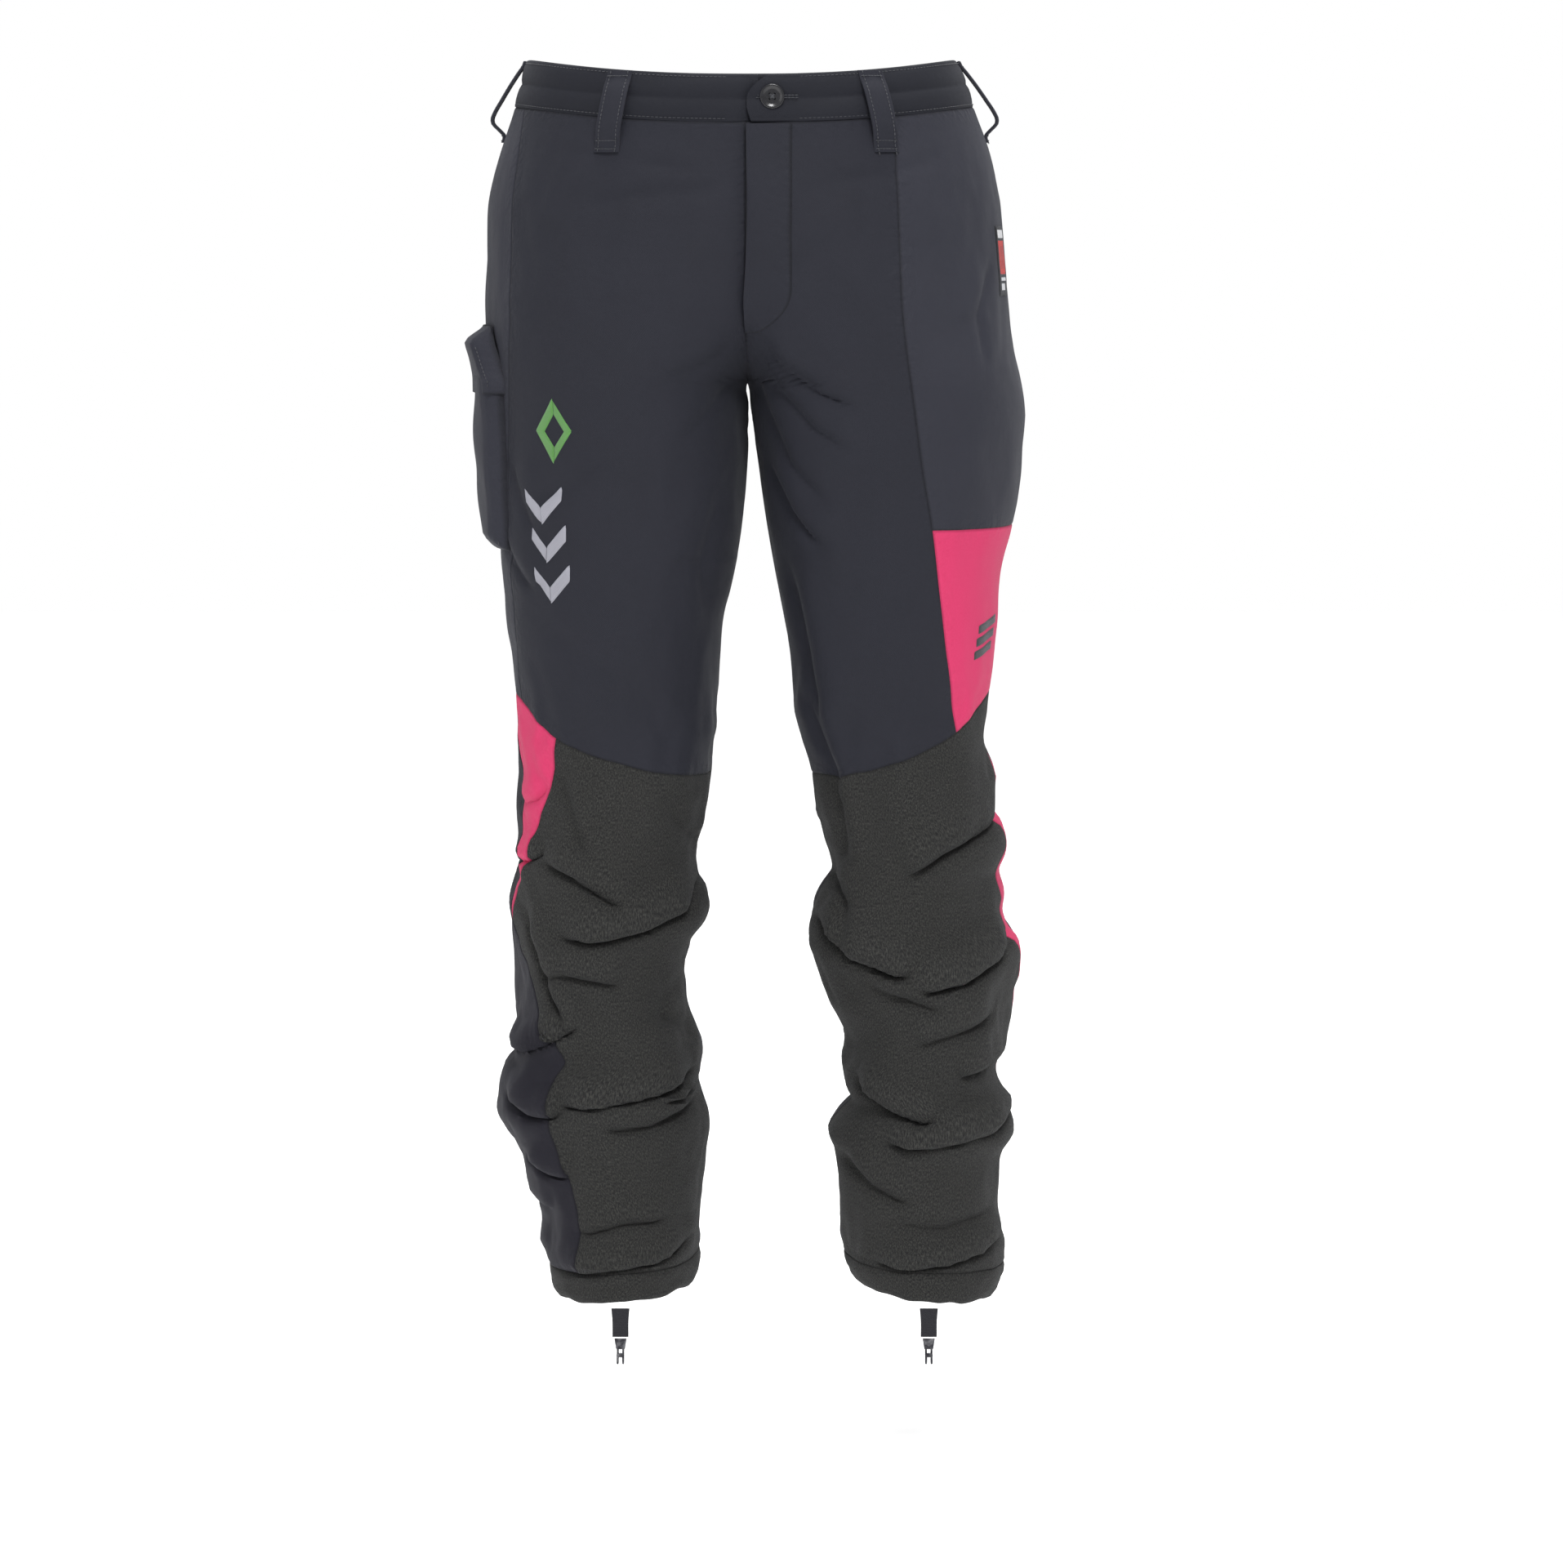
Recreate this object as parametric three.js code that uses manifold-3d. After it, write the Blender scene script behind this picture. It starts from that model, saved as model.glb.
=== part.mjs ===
// Chainsaw protective trousers, worn shape. Millimetres, +Z up, front faces -Y,
// +X is the wearer's left. The origin is the centre of the waist opening, at the
// top of the side seams.
import * as THREE from 'three';
import { mergeVertices } from 'three/addons/utils/BufferGeometryUtils.js';
import Module from 'manifold-3d';

const wasm = await Module();
wasm.setup();

// ---------- driving dimensions ----------
const INSEAM = 705; // crotch down to the hem
const HIP_WIDTH = 400; // across both sides at the hips
const HIP_DEPTH = 264; // belly to seat
const FABRIC = 1.2; // outer cloth
const PAD = 5.5; // protective pad at its thickest
const LINING = 0.7; // inner mesh
const BAND_HEIGHT = 36; // waistband
const BAND_THICK = 7; // waistband, all plies
const BAND_DIP = 13; // how far the band drops at the centre front
const CUFF_HEIGHT = 24; // hem cuff
const SEAM_GAP = 0.9; // clearance between two panels at a seam
const LAYER_GAP = 1.2; // clearance between two layers of cloth where they are sewn together
const LAYER_LOFT = 2.2; // the same out in the open
const PROUD = 1; // clearance under a piece sewn on top of a panel
const LOOP_WIDTH = 19.5; // belt loops
const LOOP_TAIL = 24; // belt loop below the band
const LOOP_LENGTH = BAND_HEIGHT + LOOP_TAIL;
const LOOP_THICK = 1.8;
const LOOP_STAND = 12; // how far a front or back loop stands off
const SIDE_LOOP_STAND = 16; // the side loops stand further out
const BUTTON_RADIUS = 9;
const BUTTON_THICK = 3.4;
const THREAD_RADIUS = 1.2; // thread shank under the button
const ZIP_LENGTH = 140;
const CROTCH_CURVE = 51; // from the foot of the zip down to the crotch
const RISE = BAND_DIP + BAND_HEIGHT + ZIP_LENGTH + CROTCH_CURVE; // waist top down to the crotch
const CHAIN_WIDTH = 5;
const TAPE_WIDTH = 13;
const PLACKET_WIDTH = 33;
const PLACKET_START = 1; // below the waistband
const PLACKET_LENGTH = ZIP_LENGTH + 12;
const POCKET_DEPTH = 14; // cargo pocket, out from the leg
const POCKET_HEIGHT = 145;
const FLAP_DROP = 50;
const BACK_POCKET_DEPTH = 15;
const BACK_POCKET_HEIGHT = 120;
const STRAP_WIDTH = 14; // boot strap at the hem
const STRAP_LENGTH = 22;
const HOOK_LENGTH = 20;

// ---------- the shape of the body ----------
// The sections below are drawn at these sizes, then stretched to the ones above.
const DRAWN = { rise: 240, inseam: 705, width: 400, depth: 264 };
const ROUNDNESS = 2.25; // 2 is an ellipse, more is squarer
const HEM = 945; // drawn depth of the hem
// Depth below the waist, outer side, inner side, front, back. An inner side
// below zero is past the middle: there the two halves are one.
const SECTIONS = {
  right: [
    [0, 165, -165, -114, 112], [40, 176, -168, -118, 116], [76, 187, -163, -121, 122],
    [107, 193, -149, -124, 130], [150, 196, -111, -126, 137], [180, 197, -76, -127, 137],
    [205, 196, -42, -126, 133], [225, 194, -15, -125, 127], [240, 192, 0, -124, 122],
    [262, 191, 1, -122, 115], [300, 189, 1, -119, 106], [350, 188, 5, -114, 97],
    [400, 186, 15, -108, 89], [450, 180, 22, -103, 81], [500, 177, 26, -100, 76],
    [550, 175, 31, -96, 76], [603, 177, 38, -90, 82], [654, 183, 38, -86, 88],
    [706, 179, 47, -82, 90], [757, 179, 40, -80, 88], [809, 192, 34, -80, 88],
    [861, 173, 37, -80, 84], [905, 162, 40, -80, 80], [945, 149, 44, -82, 74],
  ],
  left: [
    [0, 157, -157, -114, 112], [40, 172, -164, -118, 116], [76, 185, -161, -121, 122],
    [107, 191, -147, -124, 130], [150, 196, -111, -126, 137], [180, 198, -76, -127, 137],
    [205, 201, -44, -126, 133], [225, 204, -15, -125, 127], [240, 207, 0, -124, 122],
    [262, 210, 4, -122, 115], [300, 208, 10, -119, 106], [350, 201, 18, -114, 97],
    [400, 192, 25, -108, 89], [450, 190, 36, -103, 81], [500, 186, 44, -100, 76],
    [550, 188, 52, -96, 76], [603, 195, 62, -90, 82], [654, 198, 53, -86, 88],
    [706, 206, 60, -82, 90], [757, 201, 75, -80, 88], [809, 203, 71, -80, 88],
    [861, 198, 71, -80, 84], [905, 198, 73, -80, 80], [945, 190, 86, -82, 74],
  ],
};
const SIGN = { right: -1, left: 1 };
const FIRST_LEVEL = 11; // first row of facets below the waistband
const risePart = (depth) => (depth * DRAWN.rise) / RISE;
const PLACKET_FOOT = BAND_DIP + BAND_HEIGHT + PLACKET_START + PLACKET_LENGTH;
// Drawn depths of the rows of facets.
const LEVELS = [risePart(BAND_DIP + BAND_HEIGHT + FIRST_LEVEL), 105, 150, 180, risePart(PLACKET_FOOT - 10),
  risePart(PLACKET_FOOT), 225, 240, 262, 300, 350, 400, 450, 500, 550, 603, 654, 680, 706, 757, 809, 861,
  905];

// Drawn depth to real height.
function height(depth) {
  const below = Math.max(0, depth - DRAWN.rise);
  const above = Math.min(depth, DRAWN.rise);
  return -(above * RISE) / DRAWN.rise - (below * INSEAM) / DRAWN.inseam;
}

function drawnDepth(z) {
  const above = Math.min(-z, RISE);
  const below = Math.max(0, -z - RISE);
  return (above * DRAWN.rise) / RISE + (below * DRAWN.inseam) / INSEAM;
}

// Smooth value of one column of a section list at a drawn depth.
function sectionValue(rows, depth, column) {
  const last = rows.length - 1;
  let i = 0;
  while (i < last - 1 && depth > rows[i + 1][0]) i += 1;
  const slope = (k) => {
    const a = rows[Math.max(0, k - 1)];
    const b = rows[Math.min(last, k + 1)];
    return (b[column] - a[column]) / (b[0] - a[0]);
  };
  const span = rows[i + 1][0] - rows[i][0];
  const t = (depth - rows[i][0]) / span;
  const a = rows[i][column];
  const b = rows[i + 1][column];
  const ta = slope(i) * span;
  const tb = slope(i + 1) * span;
  const t2 = t * t;
  const t3 = t2 * t;
  return (2 * t3 - 3 * t2 + 1) * a + (t3 - 2 * t2 + t) * ta + (3 * t2 - 2 * t3) * b + (t3 - t2) * tb;
}

// Straight interpolation in a list of [position, value].
function along(list, at) {
  if (at <= list[0][0]) return list[0][1];
  for (let i = 1; i < list.length; i += 1) {
    if (at <= list[i][0]) {
      const t = (at - list[i - 1][0]) / (list[i][0] - list[i - 1][0]);
      return THREE.MathUtils.lerp(list[i - 1][1], list[i][1], t);
    }
  }
  return list[list.length - 1][1];
}

function ring(side, z) {
  const depth = drawnDepth(z);
  const rows = SECTIONS[side];
  const wide = HIP_WIDTH / DRAWN.width;
  const deep = HIP_DEPTH / DRAWN.depth;
  const outer = sectionValue(rows, depth, 1) * wide;
  const inner = sectionValue(rows, depth, 2) * wide;
  const front = sectionValue(rows, depth, 3) * deep;
  const back = sectionValue(rows, depth, 4) * deep;
  const centre = (outer + inner) / 2;
  const halfWide = (outer - inner) / 2;
  const joined = depth < DRAWN.rise;
  const reach = THREE.MathUtils.clamp(centre / halfWide, 0, 1);
  const start = joined ? Math.acos(reach ** (ROUNDNESS / 2)) : 0;
  return { centre, halfWide, middle: (front + back) / 2, halfDeep: (back - front) / 2, start };
}

// A point of the body. u runs from the centre front (the inseam, below the crotch)
// round the outer side at 0.5 to the centre back (the inseam again) at 1.
// off is the distance out from the surface.
function onBody(side, u, z, off = 0) {
  const r = ring(side, z);
  const angle = r.start + u * 2 * (Math.PI - r.start);
  const power = 2 / ROUNDNESS;
  const c = Math.cos(angle);
  const s = Math.sin(angle);
  const px = -Math.sign(c) * Math.abs(c) ** power;
  const py = -Math.sign(s) * Math.abs(s) ** power;
  const nx = (Math.sign(px) * Math.abs(px) ** (ROUNDNESS - 1)) / r.halfWide;
  const ny = (Math.sign(py) * Math.abs(py) ** (ROUNDNESS - 1)) / r.halfDeep;
  const size = Math.hypot(nx, ny);
  const normal = new THREE.Vector3((SIGN[side] * nx) / size, ny / size, 0);
  const x = SIGN[side] * (r.centre + r.halfWide * px + SEAM_GAP / 2);
  return new THREE.Vector3(x, r.middle + r.halfDeep * py, z).addScaledVector(normal, off);
}

function normalAt(side, u, z) {
  return onBody(side, u, z, 1).sub(onBody(side, u, z, 0));
}

// Length of the section line at a height, and the share of it in a given length.
function girth(side, z) {
  const steps = 24;
  let total = 0;
  for (let i = 0; i < steps; i += 1) {
    total += onBody(side, i / steps, z).distanceTo(onBody(side, (i + 1) / steps, z));
  }
  return total;
}

function uForX(side, x, z) {
  let low = 0;
  let high = 0.5;
  for (let i = 0; i < 30; i += 1) {
    const mid = (low + high) / 2;
    if (Math.abs(onBody(side, mid, z).x) < Math.abs(x)) low = mid;
    else high = mid;
  }
  return (low + high) / 2;
}

// ---------- seam lines ----------
// Waistband top at its place round the waist.
function bandTop(u) {
  const dip = u < 0.5 ? BAND_DIP : BAND_DIP / 2;
  return -dip * Math.cos(Math.PI * u) ** 2;
}
const waistSeam = (u) => bandTop(u) - BAND_HEIGHT;
const bandBottomFront = waistSeam(0);
const HEM_Z = height(HEM);
const CUFF_Z = HEM_Z + CUFF_HEIGHT;

// Knee seam: place round the leg, drawn depth.
const KNEE = [[0, 540], [0.12, 537], [0.2, 532], [0.26, 523], [0.34, 506], [0.43, 481],
  [0.5, 474], [0.58, 474], [0.75, 480], [1, 490]];
const kneeSeam = (u) => height(sectionValue(KNEE, u, 1));
// Seams that run down: drawn depth, place round the leg. Their knots lie on LEVELS.
const seamU = (list) => (z) => along(list, drawnDepth(z));
// The front seam is given by its distance from the middle instead.
const FRONT_SEAM = {
  right: [[40, 166], [105, 174], [180, 176], [240, 177], [300, 178], [350, 177], [400, 176], [450, 172],
    [500, 169]],
  left: [[40, 108], [105, 112], [205, 117], [262, 125], [300, 130], [350, 138], [400, 144], [450, 150],
    [500, 156], [550, 159]],
};
const frontSeamOf = (side) => (z) => (
  uForX(side, (along(FRONT_SEAM[side], drawnDepth(z)) * HIP_WIDTH) / DRAWN.width, z));
const SIDE_BACK = 0.58;
const SHIN_EDGE = {
  right: [[500, 0.33], [550, 0.35], [603, 0.4], [654, 0.46], [680, 0.412], [706, 0.37], [757, 0.315],
    [809, 0.32], [861, 0.315], [905, 0.32], [945, 0.34]],
  left: [[450, 0.5], [500, 0.497], [550, 0.48], [603, 0.455], [654, 0.455], [706, 0.49], [757, 0.497],
    [809, 0.5]],
};
const CALF_EDGE = {
  right: [[450, 0.46], [500, 0.465], [550, 0.44], [603, 0.43], [654, 0.468], [680, 0.416], [706, 0.37],
    [757, 0.315], [809, 0.32], [861, 0.315], [905, 0.32], [945, 0.34]],
  left: [[450, 0.5], [500, 0.503], [550, 0.52], [603, 0.545], [654, 0.545], [706, 0.51], [757, 0.503],
    [809, 0.5]],
};
const YOKE = [[0.58, 95], [1, 112]]; // yoke seam: place round the hip, drawn depth
const yokeSeam = (u) => height(along(YOKE, u));
const THIGH_SIGHT_TOP = height(350); // top of the bright panel on the left thigh
const KNEE_TIP = height(654); // lowest point of the bright panel at the right knee
const CALF_SIGHT = [height(500), height(757)]; // bright panel on the left calf

// ---------- cloth ----------
const COLUMN = 21; // longest facet round the body

// Closes a grid of outer and inner points into one solid.
function closedGrid(outer, inner) {
  const rows = outer.length;
  const cols = outer[0].length;
  const positions = [];
  for (const grid of [outer, inner]) {
    for (const line of grid) for (const p of line) positions.push(p.x, p.y, p.z);
  }
  const id = (layer, i, j) => layer * rows * cols + i * cols + j;
  const faces = [];
  const quad = (a, b, c, d, turned = false) => {
    if (turned) faces.push(b, c, d, b, d, a);
    else faces.push(a, b, c, a, c, d);
  };
  for (let i = 0; i + 1 < rows; i += 1) {
    for (let j = 0; j + 1 < cols; j += 1) {
      // the shorter diagonal follows the curve best
      const down = outer[i][j].distanceTo(outer[i + 1][j + 1]);
      const turned = outer[i + 1][j].distanceTo(outer[i][j + 1]) < down;
      quad(id(0, i, j), id(0, i + 1, j), id(0, i + 1, j + 1), id(0, i, j + 1), turned);
      quad(id(1, i, j), id(1, i, j + 1), id(1, i + 1, j + 1), id(1, i + 1, j), turned);
    }
    quad(id(0, i, 0), id(1, i, 0), id(1, i + 1, 0), id(0, i + 1, 0));
    quad(id(0, i, cols - 1), id(0, i + 1, cols - 1), id(1, i + 1, cols - 1), id(1, i, cols - 1));
  }
  for (let j = 0; j + 1 < cols; j += 1) {
    quad(id(0, 0, j), id(0, 0, j + 1), id(1, 0, j + 1), id(1, 0, j));
    const i = rows - 1;
    quad(id(0, i, j), id(1, i, j), id(1, i, j + 1), id(0, i, j + 1));
  }
  return facingOut(positions, faces);
}

function facingOut(positions, faces) {
  let volume = 0;
  const p = (i) => new THREE.Vector3().fromArray(positions, i * 3);
  for (let k = 0; k < faces.length; k += 3) {
    volume += p(faces[k]).dot(p(faces[k + 1]).cross(p(faces[k + 2])));
  }
  if (volume < 0) {
    for (let k = 0; k < faces.length; k += 3) {
      [faces[k + 1], faces[k + 2]] = [faces[k + 2], faces[k + 1]];
    }
  }
  const geometry = new THREE.BufferGeometry();
  geometry.setAttribute('position', new THREE.Float32BufferAttribute(positions, 3));
  geometry.setIndex(faces);
  return geometry;
}

// A piece of cloth on the body. from and to give its two long edges as places round
// the body at a height; top and bottom give its ends at a share s of the way across.
// out and into are the offsets of its two faces.
function cloth({ side, from, to, top, bottom, out, into, column = COLUMN, trim = SEAM_GAP / 2 }) {
  const widths = [top(0.5) - trim, (top(0.5) + bottom(0.5)) / 2, bottom(0.5) + trim]
    .map((z) => Math.abs(to(z) - from(z)) * girth(side, z));
  const cols = Math.max(1, Math.round(Math.max(...widths) / column));
  const lowestTop = Math.min(...[0, 0.25, 0.5, 0.75, 1].map(top));
  const highestBottom = Math.max(...[0, 0.25, 0.5, 0.75, 1].map(bottom));
  const between = LEVELS.map(height).filter((z) => z < lowestTop - 6 && z > highestBottom + 6);
  const outer = [];
  const inner = [];
  for (let i = 0; i < between.length + 2; i += 1) {
    const lineOut = [];
    const lineIn = [];
    for (let j = 0; j <= cols; j += 1) {
      const s = j / cols;
      let z = between[i - 1];
      if (i === 0) z = top(s) - trim;
      if (i === between.length + 1) z = bottom(s) + trim;
      const margin = trim / girth(side, z);
      const a = from(z) + margin;
      const b = to(z) - margin;
      const u = THREE.MathUtils.lerp(a, b, s);
      lineOut.push(onBody(side, u, z, out(z, s)));
      lineIn.push(onBody(side, u, z, into(z, s)));
    }
    outer.push(lineOut);
    inner.push(lineIn);
  }
  return closedGrid(outer, inner);
}

const fixed = (value) => () => value;

// An outer panel: its top and bottom are given as lines round the body.
function panel(side, from, to, topLine, bottomLine) {
  const spread = (line) => (s) => {
    let u = 0.5;
    for (let k = 0; k < 4; k += 1) u = THREE.MathUtils.lerp(from(line(u)), to(line(u)), s);
    return line(u);
  };
  return cloth({
    side, from, to, top: spread(topLine), bottom: spread(bottomLine), out: fixed(0), into: fixed(-FABRIC),
  });
}

// The pad and the lining thin out towards the waistband and the cuff.
const FULL_LOFT_AFTER = 60;
function loft(z) {
  const down = (bandBottomFront - z) / FULL_LOFT_AFTER;
  const up = (z - CUFF_Z) / FULL_LOFT_AFTER;
  return THREE.MathUtils.smoothstep(Math.min(down, up), 0, 1);
}
const PAD_AT_SEAM = 1.5;
const layerGap = (z) => THREE.MathUtils.lerp(LAYER_GAP, LAYER_LOFT, loft(z));
const padOut = (z) => -FABRIC - layerGap(z);
const padIn = (z) => padOut(z) - THREE.MathUtils.lerp(PAD_AT_SEAM, PAD, loft(z));
const liningOut = (z) => padIn(z) - layerGap(z) - 1.1;
const BAND_OUT = 0.6;
const BAND_IN = BAND_OUT - BAND_THICK;

// ---------- booleans ----------
function solidOf(geometry) {
  const bare = new THREE.BufferGeometry();
  bare.setAttribute('position', geometry.getAttribute('position').clone());
  if (geometry.index) bare.setIndex(geometry.index.clone());
  const merged = mergeVertices(bare, 1e-4);
  return new wasm.Manifold(new wasm.Mesh({
    numProp: 3,
    vertProperties: new Float32Array(merged.getAttribute('position').array),
    triVerts: new Uint32Array(merged.index.array),
  }));
}

function geometryOf(solid) {
  const mesh = solid.getMesh();
  const geometry = new THREE.BufferGeometry();
  geometry.setAttribute('position', new THREE.Float32BufferAttribute(mesh.vertProperties, 3));
  geometry.setIndex(new THREE.Uint32BufferAttribute(mesh.triVerts, 1));
  return geometry;
}

// ---------- assembly ----------
const garment = new THREE.Group();
const COLOUR = {
  slate: [0x3a3c46, 0.85], shin: [0x363735, 0.95], stretch: [0x2c2a36, 0.9], sight: [0xde4a78, 0.8],
  band: [0x30323b, 0.85], pad: [0xd8c98a, 0.9], lining: [0x8d9096, 0.9], plastic: [0x101012, 0.3],
  metal: [0x9a9ca0, 0.35], thread: [0x8d3b2c, 0.8], label: [0x15151a, 0.8], silver: [0xbebec8, 0.6],
};

function add(name, geometry, colour) {
  const [color, roughness] = COLOUR[colour];
  const metalness = colour === 'metal' ? 0.9 : 0;
  const mesh = new THREE.Mesh(geometry, new THREE.MeshStandardMaterial({ color, roughness, metalness }));
  mesh.name = name;
  garment.add(mesh);
  return mesh;
}

// A frame at a point of the body: x runs along the cloth, y out of it, z up.
function frameAt(side, u, z, off) {
  const out = normalAt(side, u, z);
  const up = new THREE.Vector3(0, 0, 1);
  const across = new THREE.Vector3().crossVectors(out, up);
  const matrix = new THREE.Matrix4().makeBasis(across, out, up);
  return matrix.setPosition(onBody(side, u, z, off));
}

function place(mesh, matrix) {
  matrix.decompose(mesh.position, mesh.quaternion, mesh.scale);
}

// ---------- outer panels ----------
for (const side of ['right', 'left']) {
  const frontSeam = frontSeamOf(side);
  const shinEdge = seamU(SHIN_EDGE[side]);
  const calfEdge = seamU(CALF_EDGE[side]);
  const sideBack = fixed(SIDE_BACK);
  add(`front_thigh_${side}`, panel(side, fixed(0), frontSeam, waistSeam, kneeSeam), 'slate');
  const sideBottom = side === 'right' ? kneeSeam : fixed(THIGH_SIGHT_TOP);
  add(`side_panel_${side}`, panel(side, frontSeam, sideBack, waistSeam, sideBottom), 'slate');
  add(`back_yoke_${side}`, panel(side, sideBack, fixed(1), waistSeam, yokeSeam), 'slate');
  add(`back_thigh_${side}`, panel(side, sideBack, fixed(1), yokeSeam, kneeSeam), 'slate');
  add(`shin_front_${side}`, panel(side, fixed(0), shinEdge, kneeSeam, fixed(CUFF_Z)), 'shin');
  add(`calf_back_${side}`, panel(side, calfEdge, fixed(1), kneeSeam, fixed(CUFF_Z)), 'stretch');
  if (side === 'left') {
    add('bright_thigh_left', panel(side, frontSeam, sideBack, fixed(THIGH_SIGHT_TOP), kneeSeam), 'sight');
    add('bright_calf_left', panel(side, shinEdge, calfEdge, ...CALF_SIGHT.map(fixed)), 'sight');
  } else {
    add('bright_knee_right', panel(side, shinEdge, calfEdge, kneeSeam, fixed(KNEE_TIP)), 'sight');
  }
}

// ---------- pads, lining, cuffs ----------
const PAD_FRONT = [[40, 0.16], [180, 0.16], [205, 0.14], [240, 0.1], [262, 0.05], [945, 0.04]];
const PAD_SIDE = [[40, 0.33], [240, 0.34], [500, 0.44], [945, 0.46]];
for (const side of ['right', 'left']) {
  const tuck = 0.1;
  const underBand = (u) => waistSeam(u) - tuck;
  const overCuff = fixed(CUFF_Z + tuck);
  const padFrom = seamU(PAD_FRONT);
  const padTo = seamU(PAD_SIDE);
  const padTop = (s) => underBand(THREE.MathUtils.lerp(PAD_FRONT[0][1], PAD_SIDE[0][1], s));
  add(`pad_${side}`, cloth({
    side, from: padFrom, to: padTo, top: padTop, bottom: overCuff, out: padOut, into: padIn, column: 26,
  }), 'pad');
  const liningTop = (s) => underBand(THREE.MathUtils.lerp(PAD_FRONT[0][1], 1, s));
  add(`lining_${side}`, cloth({
    side, from: padFrom, to: fixed(0.985), top: liningTop, bottom: overCuff, out: liningOut,
    into: (z) => liningOut(z) - LINING, column: 42,
  }), 'lining');
}

// A closed ring of cloth round the hem.
function cuff(side) {
  const steps = 30;
  const outer = [];
  const inner = [];
  for (const z of [CUFF_Z - SEAM_GAP / 2, HEM_Z]) {
    const at = (off) => Array.from({ length: steps }, (_, j) => onBody(side, j / steps, z, off));
    outer.push(at(BAND_OUT));
    inner.push(at(BAND_IN));
  }
  const positions = [...outer, ...inner].flat().flatMap((p) => p.toArray());
  const id = (ringIndex, j) => ringIndex * steps + (j % steps);
  const faces = [];
  const band = (a, b) => {
    for (let j = 0; j < steps; j += 1) {
      faces.push(id(a, j), id(b, j), id(b, j + 1), id(a, j), id(b, j + 1), id(a, j + 1));
    }
  };
  band(0, 1);
  band(1, 3);
  band(3, 2);
  band(2, 0);
  return facingOut(positions, faces);
}
for (const side of ['right', 'left']) add(`hem_cuff_${side}`, cuff(side), 'shin');

// ---------- waistband ----------
const BAND_SPLIT = 0.6; // place round the waist of the seam to the back piece
const bandCloth = (side, from, to) => cloth({
  side, from: fixed(from), to: fixed(to), top: (s) => bandTop(THREE.MathUtils.lerp(from, to, s)),
  bottom: (s) => waistSeam(THREE.MathUtils.lerp(from, to, s)), out: fixed(BAND_OUT), into: fixed(BAND_IN),
});
add('waistband_right', bandCloth('right', 0, BAND_SPLIT), 'band');
const BUTTON_X = 19;
const buttonZ = bandTop(0) - BAND_HEIGHT * 0.47;
const buttonU = uForX('left', BUTTON_X, buttonZ);
const slotSize = [BUTTON_RADIUS * 2 + 2, BAND_THICK * 3, THREAD_RADIUS * 2 + 1];
const slot = new THREE.BoxGeometry(...slotSize);
slot.applyMatrix4(frameAt('left', buttonU, buttonZ, BAND_IN / 2));
const leftBand = solidOf(bandCloth('left', 0, BAND_SPLIT)).subtract(solidOf(slot));
add('waistband_left', geometryOf(leftBand), 'band');

// The back piece runs across the centre back from one side to the other.
function backBand() {
  const steps = 12;
  const outer = [[], []];
  const inner = [[], []];
  const columns = [];
  for (let j = 0; j <= steps; j += 1) {
    columns.push(['right', THREE.MathUtils.lerp(BAND_SPLIT, 1, j / steps)]);
  }
  for (let j = steps; j >= 0; j -= 1) {
    columns.push(['left', THREE.MathUtils.lerp(BAND_SPLIT, 1, j / steps)]);
  }
  for (const [side, place] of columns) {
    const z = [bandTop(place) - SEAM_GAP / 2, waistSeam(place) + SEAM_GAP / 2];
    const u = Math.max(place, BAND_SPLIT + SEAM_GAP / 2 / girth(side, z[0]));
    for (const i of [0, 1]) {
      outer[i].push(onBody(side, u, z[i], BAND_OUT));
      inner[i].push(onBody(side, u, z[i], BAND_IN));
    }
  }
  return closedGrid(outer, inner);
}
add('waistband_back', backBand(), 'band');

// The right band's end runs on behind the left one and carries the button.
const UNDERLAP = 42;
const UNDERLAP_THICK = 2.4;
const underlapOut = BAND_IN - LAYER_GAP / 2;
const underlapEnd = uForX('left', UNDERLAP, buttonZ);
add('waistband_underlap', cloth({
  side: 'left', from: fixed(0), to: fixed(underlapEnd), top: fixed(bandTop(0) - 2),
  bottom: fixed(bandBottomFront), out: fixed(underlapOut), into: fixed(underlapOut - UNDERLAP_THICK),
}), 'band');

// ---------- waist button on its thread shank ----------
const BUTTON_CLEAR = 0.9; // between the band and the button's back
const buttonBack = BAND_OUT + BUTTON_CLEAR;
const rim = BUTTON_THICK;
const dish = BUTTON_THICK - 1;
const buttonProfile = [[0, 0], [BUTTON_RADIUS - 1.2, 0], [BUTTON_RADIUS, 1], [BUTTON_RADIUS, rim - 0.8],
  [BUTTON_RADIUS - 0.8, rim], [BUTTON_RADIUS - 2.2, rim], [BUTTON_RADIUS - 3, dish], [0, dish]]
  .map(([x, y]) => new THREE.Vector2(x, y));
let buttonSolid = solidOf(new THREE.LatheGeometry(buttonProfile, 28));
const holeSpacing = 1.7;
for (const [hx, hz] of [[1, 1], [1, -1], [-1, 1], [-1, -1]]) {
  const drill = new THREE.CylinderGeometry(0.8, 0.8, BUTTON_THICK * 3, 8);
  drill.translate(hx * holeSpacing, 0, hz * holeSpacing);
  buttonSolid = buttonSolid.subtract(solidOf(drill));
}
place(add('waist_button', geometryOf(buttonSolid), 'plastic'), frameAt('left', buttonU, buttonZ, buttonBack));
const shankFrom = underlapOut + 0.3;
const shankTo = buttonBack - 0.3;
const shank = new THREE.CylinderGeometry(THREAD_RADIUS, THREAD_RADIUS, shankTo - shankFrom, 12);
place(add('button_thread', shank, 'thread'), frameAt('left', buttonU, buttonZ, (shankFrom + shankTo) / 2));

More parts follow.
